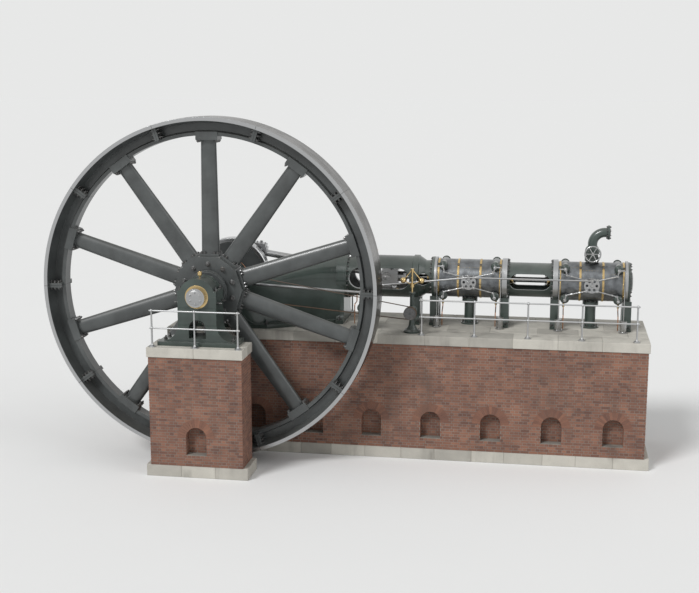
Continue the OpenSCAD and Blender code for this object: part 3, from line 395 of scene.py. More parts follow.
def rim_reach(tree):
    """How far a point on the flywheel stands from the wheel's own middle plane."""
    return maths(tree, "ABSOLUTE", maths(tree, "SUBTRACT", object_place(tree, "Y"), WHEEL_Y))


def bright_rim(tree):
    """Turned edges of the flywheel's rim, on both its sides."""
    outer = spread(tree, axis_distance(tree, WHEEL_CENTRE, ALONG_Y), WHEEL_R - 0.108, WHEEL_R - 0.104)
    return times(tree, outer, spread(tree, rim_reach(tree), 0.496, 0.499))


def dull_rim(tree):
    """The rim's running face, dark with old oil."""
    outer = spread(tree, axis_distance(tree, WHEEL_CENTRE, ALONG_Y), WHEEL_R - 0.03, WHEEL_R - 0.02)
    return times(tree, outer, spread(tree, rim_reach(tree), 0.499, 0.496))


def running_lines(tree):
    """Lines that the lathe left round the rim's running face, broken by patches of dried oil."""
    lines = node(tree, "TexNoise", {"noise_dimensions": "1D"}, W=rim_reach(tree), Scale=46.0, Detail=4.0)
    patches = noise(tree, object_place(tree), 1.1, 4.0)
    return spread(tree, maths(tree, "ADD", lines.outputs[0], patches), 0.8, 1.2)


def rim_joints(tree):
    """Dark lines where the rim's segments meet, halfway between the arms."""
    rise = maths(tree, "SUBTRACT", object_place(tree, "Z"), SHAFT_Z)
    angle = maths(tree, "ARCTAN2", rise, object_place(tree, "X"))
    wave = maths(tree, "COSINE", times(tree, maths(tree, "SUBTRACT", angle, FIRST_ARM), ARMS / 2))
    return spread(tree, maths(tree, "ABSOLUTE", wave), 0.0075, 0.0035)


def pulley_iron(tree):
    """The governor's own pulley inside its belt, and the pulley's shaft."""
    low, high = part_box("governor_drive")
    centre = (high.x - DRIVEN_R, 0.0, low.z + DRIVEN_R)
    return spread(tree, axis_distance(tree, centre, ALONG_Y), DRIVEN_R - 0.006, DRIVEN_R - 0.009)


# Materials


def painted(name, paint, bright=None, coat=0.45, rough=0.3, running_rim=False):
    """Enamel over a casting, with dust, oil runs and rubbed edges. bright makes a mask of machined faces."""
    material, tree, shader = surface(name, Coat_Weight=coat, Coat_Roughness=0.14, IOR=1.5)
    grain = use(tree, "grain", Scale=24.0)
    wear = use(tree, "wear", Amount=looks().wear, Radius=0.006)
    dust = use(tree, "dust", Amount=looks().dirt)["Mask"]
    runs = use(tree, "streaks", Amount=looks().dirt * 0.9)["Mask"]
    clouds = spread(tree, grain["Clouds"], 0.35, 0.68)
    base = mix_colour(tree, clouds, shade(paint, 0.8), shade(paint, 1.2, 0.004))
    base = mix_colour(tree, runs, base, BLACK_OIL)
    base = mix_colour(tree, dust, base, looks().dust)
    roughness = maths(tree, "ADD", mix_number(tree, dust, rough, 0.7), times(tree, runs, -0.16))
    metal = wear["Mask"]
    if bright is not None:
        metal = maths(tree, "MAXIMUM", metal, bright(tree))
    base = mix_colour(tree, metal, base, looks().steel)
    roughness = mix_number(tree, metal, roughness, 0.28)
    if running_rim:
        bare, lines, joint = dull_rim(tree), running_lines(tree), rim_joints(tree)
        iron = mix_colour(tree, lines, shade(OILY_IRON, 0.7), shade(OILY_IRON, 1.6))
        base = mix_colour(tree, joint, mix_colour(tree, bare, base, iron), JOINT_DIRT)
        roughness = mix_number(tree, bare, roughness, spread(tree, lines, 0.0, 1.0, 0.46, 0.3))
        roughness = mix_number(tree, joint, roughness, 0.6)
        metal = maths(tree, "MAXIMUM", metal, bare)
        metal = maths(tree, "MINIMUM", metal, maths(tree, "SUBTRACT", 1.0, joint))
    connect(tree, shader, Base_Color=base, Metallic=metal, Roughness=roughness,
            Normal=bump(tree, grain["Height"], wear["Normal"], 0.003, 0.3))
    return material


def machined(name, base, centre=CYLINDER_LINE, across=ALONG_X, rough=0.22, tarnish=(0.24, 0.2, 0.15),
             filed=False, marked=1.0):
    """Metal turned, or filed along X, under oil and a little tarnish. marked is how deep the tool cut."""
    material, tree, shader = surface(name, Metallic=1.0)
    if filed:
        marks = use(tree, "grain", Scale=272.0, Stretch=(0.015, 1.0, 1.0))
        rings = spread(tree, marks["Height"], 0.85, 1.2)
        depth = marked * 0.5
    else:
        marks = use(tree, "turned", Centre=centre, Across=across, Pitch=170.0)
        rings = spread(tree, marks["Height"], 0.35, 0.65)
        depth = marked
    wear = use(tree, "wear", Amount=1.0, Radius=0.004)
    tone = mix_colour(tree, rings, shade(base, 1 - 0.16 * depth), shade(base, 1 + 0.12 * depth))
    film = spread(tree, use(tree, "grain", Scale=8.0)["Clouds"], 0.42, 0.75, 0.0, 0.3)
    tone = mix_colour(tree, film, tone, tarnish)
    roughness = mix_number(tree, rings, rough + 0.05, rough - 0.05)
    roughness = maths(tree, "ADD", roughness, times(tree, film, 0.35))
    connect(tree, shader, Base_Color=tone, Roughness=roughness,
            Normal=bump(tree, marks["Height"], wear["Normal"], 0.0006, 0.4 * depth))
    return material


def masonry(name, light, dark, rough, scale, depth, toned=False, stain=0.5):
    """Brick, mortar or stone. toned materials take each block's own tone from its mesh."""
    material, tree, shader = surface(name)
    grain = use(tree, "grain", Scale=scale)
    runs = use(tree, "streaks", Amount=stain, Scale=1.6)["Mask"]
    share_of_light = spread(tree, grain["Clouds"], 0.3, 0.7)
    if toned:
        tone = node(tree, "Attribute", {"attribute_name": "tone"}).outputs["Fac"]
        share_of_light = maths(tree, "ADD", times(tree, share_of_light, 0.35), times(tree, tone, 0.65))
    specks = spread(tree, noise(tree, object_place(tree), scale * 3.5, 2.0), 0.6, 0.75, 0.0, 0.45)
    base = mix_colour(tree, share_of_light, dark, light)
    base = mix_colour(tree, specks, base, shade(dark, 0.5))
    base = mix_colour(tree, runs, base, (0.05, 0.042, 0.034))
    connect(tree, shader, Base_Color=base, Roughness=mix_number(tree, runs, rough, 0.5),
            Normal=bump(tree, grain["Height"], None, depth, 0.7))
    return material


def planished():
    """Rolled and blued sheet, faintly rippled, with an oiled sheen."""
    material, tree, shader = surface("Planished sheet", Metallic=0.85, Coat_Weight=0.25, Coat_Roughness=0.12)
    ripple = noise(tree, object_place(tree), 5.5, 3.0, 0.5)
    drawn = node(tree, "Mapping", None, i0=object_place(tree), Scale=(6.0, 1.0, 1.0)).outputs[0]
    dust = use(tree, "dust", Amount=looks().dirt * 0.7, Scale=5.0)["Mask"]
    blue = looks().lagging
    base = mix_colour(tree, spread(tree, ripple, 0.35, 0.65), shade(blue, 0.7), shade(blue, 1.3))
    roughness = spread(tree, noise(tree, drawn, 38.0), 0.3, 0.7, 0.22, 0.36)
    connect(tree, shader, Base_Color=mix_colour(tree, dust, base, looks().dust),
            Roughness=mix_number(tree, dust, roughness, 0.6), Normal=bump(tree, ripple, None, 0.01, 0.22))
    return material


def leather():
    """Oiled leather of the governor's belt, with the iron of its pulley."""
    material, tree, shader = surface("Leather belt", Specular_IOR_Level=0.35)
    grain = use(tree, "grain", Scale=90.0)
    iron = pulley_iron(tree)
    pores = spread(tree, grain["Height"], 0.8, 1.2)
    hide = mix_colour(tree, pores, (0.045, 0.026, 0.016), (0.13, 0.075, 0.042))
    connect(tree, shader, Base_Color=mix_colour(tree, iron, hide, looks().wheel_paint),
            Roughness=mix_number(tree, iron, 0.55, 0.3), Normal=bump(tree, grain["Height"], None, 0.001, 0.5))
    return material


def smoothing_tree():
    """Nodes that shade a mesh smooth up to an angle between its faces, and move no point of it."""
    tree = bpy.data.node_groups.new("Smooth casting", "GeometryNodeTree")
    for way in ("INPUT", "OUTPUT"):
        tree.interface.new_socket("Geometry", in_out=way, socket_type="NodeSocketGeometry")
    kinds = ("NodeGroupInput", "GeometryNodeMergeByDistance", "GeometryNodeRemoveAttribute",
             "GeometryNodeSetShadeSmooth", "GeometryNodeSetShadeSmooth", "NodeGroupOutput")
    steps = [tree.nodes.new(kind) for kind in kinds]
    for first, second in zip(steps, steps[1:]):
        tree.links.new(first.outputs[0], second.inputs[0])
    merge, plain, sharp = steps[1], steps[2], steps[4]
    merge.inputs["Distance"].default_value = WELD
    plain.inputs["Name"].default_value = "custom_normal"
    sharp.domain = "EDGE"
    sharp.inputs["Shade Smooth"].default_value = False
    steep = tree.nodes.new("FunctionNodeCompare")
    steep.data_type, steep.operation = "FLOAT", "GREATER_THAN"
    steep.inputs[1].default_value = CREASE
    angle = tree.nodes.new("GeometryNodeInputMeshEdgeAngle")
    tree.links.new(angle.outputs["Unsigned Angle"], steep.inputs[0])
    tree.links.new(steep.outputs[0], sharp.inputs["Selection"])
    return tree


def smooth_castings(*names):
    """Shades swept castings as the smooth curves that the moulder left."""
    tree = smoothing_tree()
    for name in names:
        NODES[name].modifiers.new("Smooth casting", "NODES").node_group = tree
        NODES[name].modifiers.new("Even normals", "WEIGHTED_NORMAL").keep_sharp = True


MATERIALS = {}


def finishes():
    """Makes every material once."""
    steel, brass, copper = looks().steel, looks().brass, looks().copper
    enamel, wheel, stone, mortar = looks().enamel, looks().wheel_paint, looks().stone, looks().mortar
    brass_tarnish, black = (0.3, 0.19, 0.08), (0.14, 0.14, 0.14)
    MATERIALS.update(
        enamel=painted("Engine enamel", enamel),
        guide=painted("Guide enamel and bore", enamel, bright_bore),
        flanged=painted("Enamel with bright flanges", enamel, bright_flange),
        wheel=painted("Wheel paint", wheel, coat=0.3, rough=0.36),
        rim=painted("Wheel paint with turned rim", wheel, bright_rim, 0.3, 0.36, running_rim=True),
        disc=painted("Crank disc", wheel, bright_disc),
        shaft=machined("Turned shaft", steel, CYLINDER_LINE, ALONG_Y),
        pin=machined("Turned crank pin", steel, PIN, ALONG_Y),
        belt=leather(),
        rod=machined("Bright rod", shade(steel, 1.3), rough=0.14, tarnish=(0.35, 0.32, 0.28)),
        forged=machined("Draw filed forging", steel, rough=0.31, filed=True),
        rail=machined("Polished tube", shade(steel, 1.1), rough=0.4, tarnish=(0.4, 0.38, 0.34), filed=True),
        nut=machined("Black bolt heads", black, rough=0.34, tarnish=(0.1, 0.08, 0.06), filed=True),
        bright_nut=machined("Bright nuts", steel, rough=0.28, filed=True),
        brass=machined("Polished brass", brass, rough=0.2, tarnish=brass_tarnish),
        fitting=machined("Brass fittings", brass, GOVERNOR, ALONG_Z, 0.17, brass_tarnish, marked=0.25),
        copper=machined("Copper pipe", copper, rough=0.25, tarnish=(0.2, 0.1, 0.06), filed=True),
        lagging=planished(),
        brick=masonry("Hard red brick", looks().brick_light, looks().brick_dark, 0.8, 70.0, 0.003, True),
        mortar=masonry("Lime mortar", mortar, shade(mortar, 0.62), 0.92, 110.0, 0.004),
        stone=masonry("Dressed stone", shade(stone, 1.15), shade(stone, 0.62), 0.78, 45.0, 0.004, True, 0.7),
    )


DRESS = {
    "mortar": ["foundation_piers"],
    "stone": ["pier_coping", "footings"],
    "enamel": ["engine_bed", "bearing_caps", "outboard_pedestal", "cylinder_feet", "steam_elbow",
               "exhaust_pipes", "valve_bonnets", "rocker_stand", "governor_stand"],
    "guide": ["crosshead_guide"],
    "flanged": ["front_cylinder", "rear_cylinder", "distance_piece", "cylinder_covers"],
    "wheel": ["flywheel_arms", "flywheel_hub"],
    "rim": ["flywheel_rim"],
    "disc": ["crank_disc"],
    "belt": ["governor_drive"],
    "pin": ["crank_pin"],
    "shaft": ["crankshaft", "wrist_plates", "eccentric", "dashpots", "stop_valve_wheel"],
    "rod": ["piston_rod"],
    "forged": ["connecting_rod", "rod_straps", "crosshead", "valve_links", "reach_rods", "pistons"],
    "rail": ["rail_posts", "hand_rails"],
    "brass": ["lagging_bands", "bearing_brasses", "stuffing_boxes", "crosshead_slippers", "rod_brasses"],
    "fitting": ["governor_head", "oil_cups"],
    "lagging": ["lagging"],
}


# Small pieces gathered into meshes


class Pile:
    """Vertices and faces of many like pieces, which become one mesh."""

    def __init__(self):
        self.points, self.faces, self.tones = [], [], []

    def add(self, shape, place, tone=0.5):
        points, faces = shape
        start = len(self.points)
        self.points.extend(place @ Vector(p) for p in points)
        self.faces.extend([start + i for i in face] for face in faces)
        self.tones.extend([tone] * len(faces))

    def finish(self, name, material, body, slot):
        mesh = bpy.data.meshes.new(name)
        mesh.from_pydata(self.points, [], self.faces)
        mesh.attributes.new("tone", "FLOAT", "FACE").data.foreach_set("value", self.tones)
        mesh.shade_smooth()
        mesh.set_sharp_from_angle(angle=SHARP)
        mesh.materials.append(MATERIALS[material])
        made = bpy.data.objects.new(name, mesh)
        bpy.context.scene.collection.objects.link(made)
        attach(made, body)
        return made


def moved(x, y, z):
    return Matrix.Translation((x, y, z))


def turned(axis, angle):
    return Matrix.Rotation(angle, 4, axis)


def axes_at(point, x, y, z):
    """A place at a point, with its three axes given."""
    return Matrix.Translation(point) @ Matrix((x, y, z)).transposed().to_4x4()


def facing(point, direction, spin=0.0):
    """A place at a point, with Z along a direction and a turn about it."""
    turn = Vector(direction).to_track_quat("Z", "Y").to_matrix().to_4x4()
    return Matrix.Translation(Vector(point)) @ turn @ turned("Z", spin)


def angles(count, phase=0.0):
    """Even steps round a full turn."""
    return [2 * math.pi * (k + phase) / count for k in range(count)]


def skin(rings, steps):
    """Faces between rings of points that follow each other, closed at both ends."""
    faces = []
    for start in range(0, (rings - 1) * steps, steps):
        for k in range(steps):
            a, b = start + k, start + (k + 1) % steps
            faces.append([a, b, b + steps, a + steps])
    faces.append(list(range(steps))[::-1])
    faces.append([(rings - 1) * steps + k for k in range(steps)])
    return faces


def lathe(profile, steps=16):
    """A profile of radius and height, turned round Z."""
    points = [(r * math.cos(angle), r * math.sin(angle), z) for r, z in profile for angle in angles(steps)]
    return points, skin(len(profile), steps)


def joined(*shapes):
    points, faces = [], []
    for more, around in shapes:
        start = len(points)
        points.extend(more)
        faces.extend([start + i for i in face] for face in around)
    return points, faces


def hexagon(across, height, z=0.0):
    """A six-sided nut with a chamfered top."""
    r = across / math.sqrt(3)
    return lathe([(r, z), (r, z + height * 0.88), (r * 0.86, z + height)], 6)


def nut(across, stud=0.35):
    """A washer, nut and stud end, standing on zero and facing up Z, in shares of its width."""
    washer = [(0.74, 0.0), (0.74, 0.09), (0.68, 0.12)]
    stud_end = [(0.26, 0.7), (0.26, 0.8 + stud), (0.17, 0.88 + stud)]
    return joined(
        lathe([(across * r, across * z) for r, z in washer], 14),
        hexagon(across, across * 0.68, z=across * 0.12),
        lathe([(across * r, across * z) for r, z in stud_end], 10))


def signs(axis, along, a, b):
    """The signs of a block's corner: one along an axis, and two for the other axes in order."""
    rest = [a, b]
    rest.insert(axis, along)
    return rest


def block(x, y, z, chamfer):
    """A block with chamfered edges, centred on zero."""
    half = (x / 2, y / 2, z / 2)
    corners = list(product((-1, 1), repeat=3))
    points, index = [], {}
    for corner in corners:
        for axis in (X, Y, Z):
            index[(*corner, axis)] = len(points)
            points.append([side * (half[i] - (0 if i == axis else chamfer)) for i, side in enumerate(corner)])
    faces = []

    def face(*spots):
        ring = [index[spot] for spot in spots]
        first, second, third = (Vector(points[i]) for i in ring[:3])
        centre = sum((Vector(points[i]) for i in ring), Vector()) / len(ring)
        outward = (second - first).cross(third - second).dot(centre) > 0
        faces.append(ring if outward else ring[::-1])

    for axis in (X, Y, Z):
        one, other = (i for i in (X, Y, Z) if i != axis)
        for side in (-1, 1):
            face(*((*signs(axis, side, a, b), axis) for a, b in ((-1, -1), (1, -1), (1, 1), (-1, 1))))
        for a, b in product((-1, 1), repeat=2):
            low, high = signs(axis, -1, a, b), signs(axis, 1, a, b)
            face((*low, one), (*high, one), (*high, other), (*low, other))
    for corner in corners:
        face(*((*corner, axis) for axis in (X, Y, Z)))
    return points, faces


def ring_of_nuts(pile, centre, direction, radius, count, across, stud=0.35, skip=None):
    """Nuts on a circle round an axis. skip(point) leaves out some of them."""
    rng = random.Random(count * 7 + int(radius * 1000))
    ring = facing(centre, direction)
    shape = nut(across, stud)
    for angle in angles(count, 0.5):
        place = ring @ moved(radius * math.cos(angle), radius * math.sin(angle), 0.0)
        if skip is not None and skip(place.translation):
            continue
        pile.add(shape, place @ turned("Z", rng.uniform(0.0, 1.0)))


def tube(points, radius, steps=10):
    """A round pipe through a list of points, with closed ends."""
    path = [Vector(p) for p in points]
    made = []
    side = None
    for i, point in enumerate(path):
        ahead = (path[min(i + 1, len(path) - 1)] - path[max(i - 1, 0)]).normalized()
        if side is None:
            side = ahead.orthogonal().normalized()
        side = (side - ahead * side.dot(ahead)).normalized()
        other = ahead.cross(side)
        for angle in angles(steps):
            made.append(point + side * (radius * math.cos(angle)) + other * (radius * math.sin(angle)))
    return made, skin(len(path), steps)


def bent(points, bend=0.06, steps=5):
    """A path of straight runs with its corners rounded."""
    path = [Vector(p) for p in points]
    out = [path[0]]
    for before, corner, after in zip(path, path[1:], path[2:]):
        reach = min(bend, (corner - before).length / 2, (after - corner).length / 2)
        start = corner + (before - corner).normalized() * reach
        end = corner + (after - corner).normalized() * reach
        for k in range(steps + 1):
            t = k / steps
            out.append(start.lerp(corner, t).lerp(corner.lerp(end, t), t))
    out.append(path[-1])
    return out


def pipe(pile, radius, bend, *points):
    """A bent pipe through its corners."""
    pile.add(tube(bent(points, bend), radius), HERE)


# Masonry

# Lowest and highest corner of the engine's pier and of the outboard pier, between footing and coping
PIER_LOW, PIER_HIGH = Vector((-1.5, -1.9, 0.32)), Vector((11.66, 1.1, 3.24))
OUT_LOW, OUT_HIGH = Vector((-1.25, -4.44, 0.32)), Vector((1.25, -3.46, 3.24))
PIERS = ((PIER_LOW, PIER_HIGH), (OUT_LOW, OUT_HIGH))
PIER_H = PIER_HIGH.z - PIER_LOW.z
# How far coping and footing stand out past the bricks
COPING_LIP, FOOTING_LIP = Vector((0.04, 0.04, 0.0)), Vector((0.13, 0.0, 0.0))
# Arched pockets: their middles along the pier, width, height up to the arch, sill and depth
POCKETS = [-0.66 + 1.64 * i for i in range(8)]
POCKET_W, POCKET_H, POCKET_Z, POCKET_DEEP = 0.56, 0.48, 0.62, 0.26
POCKET_R = POCKET_W / 2
ARCH_RING, ARCH_BRICKS = 0.225, 17
# Narrow chamfer of a brick, and the least length of a cut brick
BRICK_EDGE, LEAST_BRICK = 0.003, 0.015


def brick_tone(rng, middle_tone, scatter):
    return min(1.0, max(0.0, rng.gauss(middle_tone, scatter)))


def add_raised(pile, foot, top, axes, tone):
    """A piece with no back: its top and the sides down to its foot, both of four points.
    axes run along, up and out."""
    along, up, outward = axes
    faces = [[4, 5, 6, 7]] + [[i, (i + 1) % 4, 4 + (i + 1) % 4, 4 + i] for i in range(4)]
    if along.cross(up).dot(outward) < 0:
        faces = [face[::-1] for face in faces]
    pile.add((foot + top, faces), HERE, tone)


def add_brick(pile, corner, axes, across, height, proud, tone):
    """The part of a brick that shows: its face, with a narrow chamfer round it."""
    along, up, outward = axes
    rings = []
    for inset, lift in ((0.0, 0.0), (BRICK_EDGE, proud)):
        a, b, low, high = across[0] + inset, across[1] - inset, inset, height - inset
        ring = ((a, low), (b, low), (b, high), (a, high))
        rings.append([corner + along * u + up * z + outward * lift for u, z in ring])
    add_raised(pile, *rings, axes, tone)


def bonded_wall(pile, corner, along, outward, width, height, gaps, rng, over=0.0):
    """Courses of stretchers and headers on one face. gaps(z) gives spans to leave open.
    over is how far the bricks reach past the face's corners."""
    brick = sizes()
    rise, joint = PIER_H / brick.brick_courses, brick.brick_joint
    for course in range(math.ceil(height / rise - 0.2)):
        z = course * rise
        headers = course % 2
        pitch = brick.brick_l / 2 if headers else brick.brick_l
        start = -brick.brick_l / 4 if headers else 0.0
        for k in range(int((width - start) / pitch) + 2):
            spans = [(max(start + k * pitch, -over), min(start + (k + 1) * pitch - joint, width + over))]
            for low, high in gaps(z + rise / 2):
                parts = [part for a, b in spans for part in ((a, min(b, low)), (max(a, high), b))]
                spans = [part for part in parts if part[1] > part[0]]
            for span in spans:
                if span[1] - span[0] > LEAST_BRICK:
                    proud = brick.brick_proud + rng.uniform(-0.0012, 0.0)
                    tone = brick_tone(rng, 0.5, 0.27)
                    top = min(rise - joint, height - z)
                    add_brick(pile, corner + UP * z, (along, UP, outward), span, top, proud, tone)


def pocket_gap(middle_x, z):
    """The span that an arched pocket takes out of a course at a height above its sill.
    Courses end under the arch's ring."""
    under_ring = POCKET_R + ARCH_RING - 0.06
    rise = z - POCKET_H
    if z < 0 or rise > under_ring:
        return []
    half = POCKET_R if rise < 0.04 else math.sqrt(under_ring ** 2 - rise ** 2)
    return [(middle_x - half, middle_x + half)]


def arch(pile, sill, along, outward, rng):
    """The ring of bricks on end over a pocket, and the bricks under the arch behind it."""
    proud = sizes().brick_proud
    ring_face = proud + 0.004
    crown = sill + UP * POCKET_H
    outer_r = POCKET_R + ARCH_RING - 0.008
    half_joint = 0.006

    def spot(r, angle):
        return crown + along * (r * math.cos(angle)) + UP * (r * math.sin(angle))

    for k in range(ARCH_BRICKS):
        start = math.pi * k / ARCH_BRICKS + half_joint
        end = math.pi * (k + 1) / ARCH_BRICKS - half_joint
        tone = brick_tone(rng, 0.45, 0.2)
        flat = [(POCKET_R, start), (outer_r, start), (outer_r, end), (POCKET_R, end)]
        foot, top = ([spot(r, angle) + outward * depth for r, angle in flat] for depth in (0.0, ring_face))
        add_raised(pile, foot, top, (along, UP, outward), tone)
        near, far = spot(POCKET_R, start), spot(POCKET_R, end)
        step = far - near
        axes = (-outward, step.normalized(), (crown - (near + far) / 2).normalized())
        for across in ((0.002, 0.11), (0.12, POCKET_DEEP - 0.004)):
            add_brick(pile, near, axes, across, step.length, proud, rng.random())


def pocket_lining(pile, sill, along, outward, rng):
    """Bricks on the back and the two cheeks of a pocket."""
    def outside_arch(z):
        if z < POCKET_H:
            return []
        half = math.sqrt(max(POCKET_R ** 2 - (z - POCKET_H) ** 2, 0.0))
        return [(-1.0, POCKET_R - half), (POCKET_R + half, POCKET_W + 1.0)]

    back = sill - outward * POCKET_DEEP - along * POCKET_R
    bonded_wall(pile, back, along, outward, POCKET_W, POCKET_H + POCKET_R, outside_arch, rng)
    for side in (-1, 1):
        cheek = sill - outward * POCKET_DEEP + along * (side * POCKET_R)
        bonded_wall(pile, cheek, outward, along * -side, POCKET_DEEP, POCKET_H, lambda z: [], rng)


def brick_pier(name, low, high, pockets, seed):
    """Bricks on a pier's four faces. pockets lists the pockets' middles on its low and its high Y face."""
    rng = random.Random(seed)
    pile = Pile()
    sill_z = POCKET_Z - low.z
    x, y = Vector((1, 0, 0)), Vector((0, 1, 0))
    size = high - low
    faces = (
        ((low.x, low.y, low.z), x, -y, size.x, pockets[0]),
        ((low.x, high.y, low.z), x, y, size.x, pockets[1]),
        ((low.x, low.y, low.z), y, -x, size.y, []),
        ((high.x, low.y, low.z), y, x, size.y, []),
    )
    for corner, along, outward, width, middles in faces:
        def gaps(z, middles=middles):
            return [span for m in middles for span in pocket_gap(m - low.x, z - sill_z)]
        corner = Vector(corner)
        bonded_wall(pile, corner, along, outward, width, PIER_H, gaps, rng, sizes().brick_proud)
        for m in middles:
            sill = corner + along * (m - low.x) + UP * sill_z
            arch(pile, sill, along, outward, rng)
            pocket_lining(pile, sill, along, outward, rng)
    pile.finish(name, "brick", "engine", "brick")


def slabs(name, areas, node_name, seed):
    """Stone slabs with open joints over a core, in place of a plain CAD slab."""
    joint, chamfer = sizes().slab_joint, sizes().slab_chamfer
    core_inset, core_tone = Vector((0.02, 0.02, 0.012)), 0.1
    rng = random.Random(seed)
    pile = Pile()
    for low, high, across, rows in areas:
        size = high - low
        pile.add(block(*(size - core_inset), 0.002), Matrix.Translation((low + high) / 2), core_tone)
        depth, step = size.y / rows, size.x / across
        for row in range(rows):
            cuts = [0.0]
            start = step * (0.5 if row % 2 else 1.0)
            while start < size.x - step * 0.3:
                cuts.append(start + rng.uniform(-0.06, 0.06) * step)
                start += step
            cuts.append(size.x)
            y0 = row * depth + (joint / 2 if row else 0)
            y1 = (row + 1) * depth - (joint / 2 if row < rows - 1 else 0)
            for a, b in zip(cuts, cuts[1:]):
                x0 = a + (joint / 2 if a > 0 else 0)
                x1 = b - (joint / 2 if b < size.x else 0)
                centre = low + Vector(((x0 + x1) / 2, (y0 + y1) / 2, size.z / 2))
                slab = block(x1 - x0, y1 - y0, size.z, chamfer)
                pile.add(slab, Matrix.Translation(centre), rng.random())
    made = pile.finish(name, "stone", "engine", "stone")
    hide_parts(node_name)


def levels(lip, bottom_z, top_z, counts):
    """Areas of slabs over both piers, wider than the bricks by a lip, with slabs across and rows for each."""
    areas = []
    for (low, high), (across, rows) in zip(PIERS, counts):
        bottom, top = low - lip, high + lip
        bottom.z, top.z = bottom_z, top_z
        areas.append((bottom, top, across, rows))
    return areas


class ENGINE_OT_masonry(Operator):
    """Lays the bricks, coping slabs and footing stones"""

    bl_idname = "engine.masonry"
    bl_label = "Masonry"

    def execute(self, context):
        brick_pier("pier_bricks", PIER_LOW, PIER_HIGH, (POCKETS, POCKETS), 11)
        brick_pier("outboard_pier_bricks", OUT_LOW, OUT_HIGH, ([0.0], []), 12)
        coping = levels(COPING_LIP, PIER_HIGH.z, FLOOR_Z, ((11, 4), (2, 2)))
        slabs("coping_slabs", coping, "pier_coping", 21)
        footings = levels(FOOTING_LIP, 0.0, PIER_LOW.z, ((14, 3), (3, 1)))
        slabs("footing_stones", footings, "footings", 22)
        return {"FINISHED"}


# Flywheel


def wheel_place(angle):
    """Axes at the wheel's centre: X out along an angle, Y round the rim, Z away from the engine."""
    out = Vector((math.cos(angle), 0.0, math.sin(angle)))
    aside = Vector((0.0, -1.0, 0.0))
    return axes_at(WHEEL_CENTRE, out, aside.cross(out), aside)


class ENGINE_OT_wheel_fastenings(Operator):
    """Bolts the rim's segments, the arms and the hub"""

    bl_idname = "engine.wheel_fastenings"
    bl_label = "Flywheel fastenings"

    def execute(self, context):
        pile = Pile()
        joint_nut, arm_nut, hub_nut = nut(0.062), nut(0.06, 0.3), nut(0.055, 0.3)
        # Radius and places of the nuts on the rim's joints, the arms' outer pads and their feet on the hub
        joint_flange, joint_rs, joint_asides = 0.0603, (4.23, 4.34, 4.44), (-0.33, -0.19, 0.19, 0.33)
        pad_r, pad_acrosses, pad_asides = 3.9797, (-0.254, 0.254), (-0.16, -0.055, 0.055, 0.16)
        foot_r, foot_acrosses, foot_asides = 0.9503, (-0.222, -0.132, 0.132, 0.222), (-0.153, 0.153)
        for k in range(ARMS):
            at_joint = wheel_place(FIRST_ARM + ARM_PITCH * (k + 0.5))
            for side, r, aside in product((-1, 1), joint_rs, joint_asides):
                spot = moved(r, side * joint_flange, aside)
                pile.add(joint_nut, at_joint @ spot @ turned("X", -side * QUARTER))
            at_arm = wheel_place(FIRST_ARM + ARM_PITCH * k)
            for across, aside in product(pad_acrosses, pad_asides):
                pile.add(arm_nut, at_arm @ moved(pad_r, across, aside) @ turned("Y", -QUARTER))
            for across, aside in product(foot_acrosses, foot_asides):
                pile.add(hub_nut, at_arm @ moved(foot_r, across, aside) @ turned("Y", QUARTER))
        # How far the hub's bolt circle, its faces and its keys' middles are from the wheel's middle plane
        hub, bolts_y, face_y, keys_y = Vector(WHEEL_CENTRE), 0.31, 0.55, 0.565
        for side in (-1, 1):
            ring_of_nuts(pile, hub + Vector((0, side * bolts_y, 0)), (0, side, 0), 0.69, ARMS, 0.1)
        pile.finish("wheel_nuts", "nut", "flywheel", "bright_steel")
        bright = Pile()
        # Two keys on each side of the hub, a quarter turn apart
        key_angle, key_r = 0.4, 0.262
        for side, angle in product((-1, 1), (key_angle, key_angle + QUARTER)):
            face = Matrix.Translation(hub + Vector((0, side * keys_y, 0)))
            bright.add(block(0.05, 0.09, 0.11, 0.006), face @ turned("Y", angle) @ moved(key_r, 0, 0))
        # Studs round the hub's faces, and bolts of the governor's drive pulley
        for side in (-1, 1):
            ring_of_nuts(bright, hub + Vector((0, side * face_y, 0)), (0, side, 0), 0.4, 8, 0.05, stud=0.1)
        for y, side in ((-2.02, -1), (-1.9, 1)):
            ring_of_nuts(bright, (0, y, SHAFT_Z), (0, side, 0), 0.3, 8, 0.04, stud=0.15)
        bright.finish("hub_keys", "bright_nut", "flywheel", "bright_steel")
        return {"FINISHED"}


class ENGINE_OT_crank_fastenings(Operator):
    """Adds the crank disc's key, bolts and boss cap, and the shaft's end plate"""

    bl_idname = "engine.crank_fastenings"
    bl_label = "Crank fastenings"

    def execute(self, context):
        pile = Pile()
        face_y, end_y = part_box("crank_disc")[1].y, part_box("crankshaft")[0].y
        face = moved(0, face_y, SHAFT_Z)
        ring_of_nuts(pile, (0, face_y, SHAFT_Z), (0, 1, 0), 0.33, 10, 0.05, stud=0.12)
        key = face @ turned("Y", -CRANK_ANGLE) @ moved(0, 0.005, 0.2)
        pile.add(block(0.09, 0.02, 0.1, 0.006), key)
        boss = lathe([(0.12, -0.01), (0.12, 0.008), (0.1, 0.014), (0.04, 0.015)], 24)
        pile.add(boss, face @ turned("X", -QUARTER))
        # End plate of the shaft beyond the outboard bearing
        plate = lathe([(0.2, -0.02), (0.2, 0.006), (0.19, 0.012), (0.05, 0.014)], 24)
        pile.add(plate, moved(0, end_y, SHAFT_Z) @ turned("X", QUARTER))
        ring_of_nuts(pile, (0, end_y - 0.012, SHAFT_Z), (0, -1, 0), 0.15, 6, 0.04, stud=0.1)
        pile.finish("crank_fittings", "bright_nut", "flywheel", "bright_steel")
        return {"FINISHED"}


# Engine fastenings


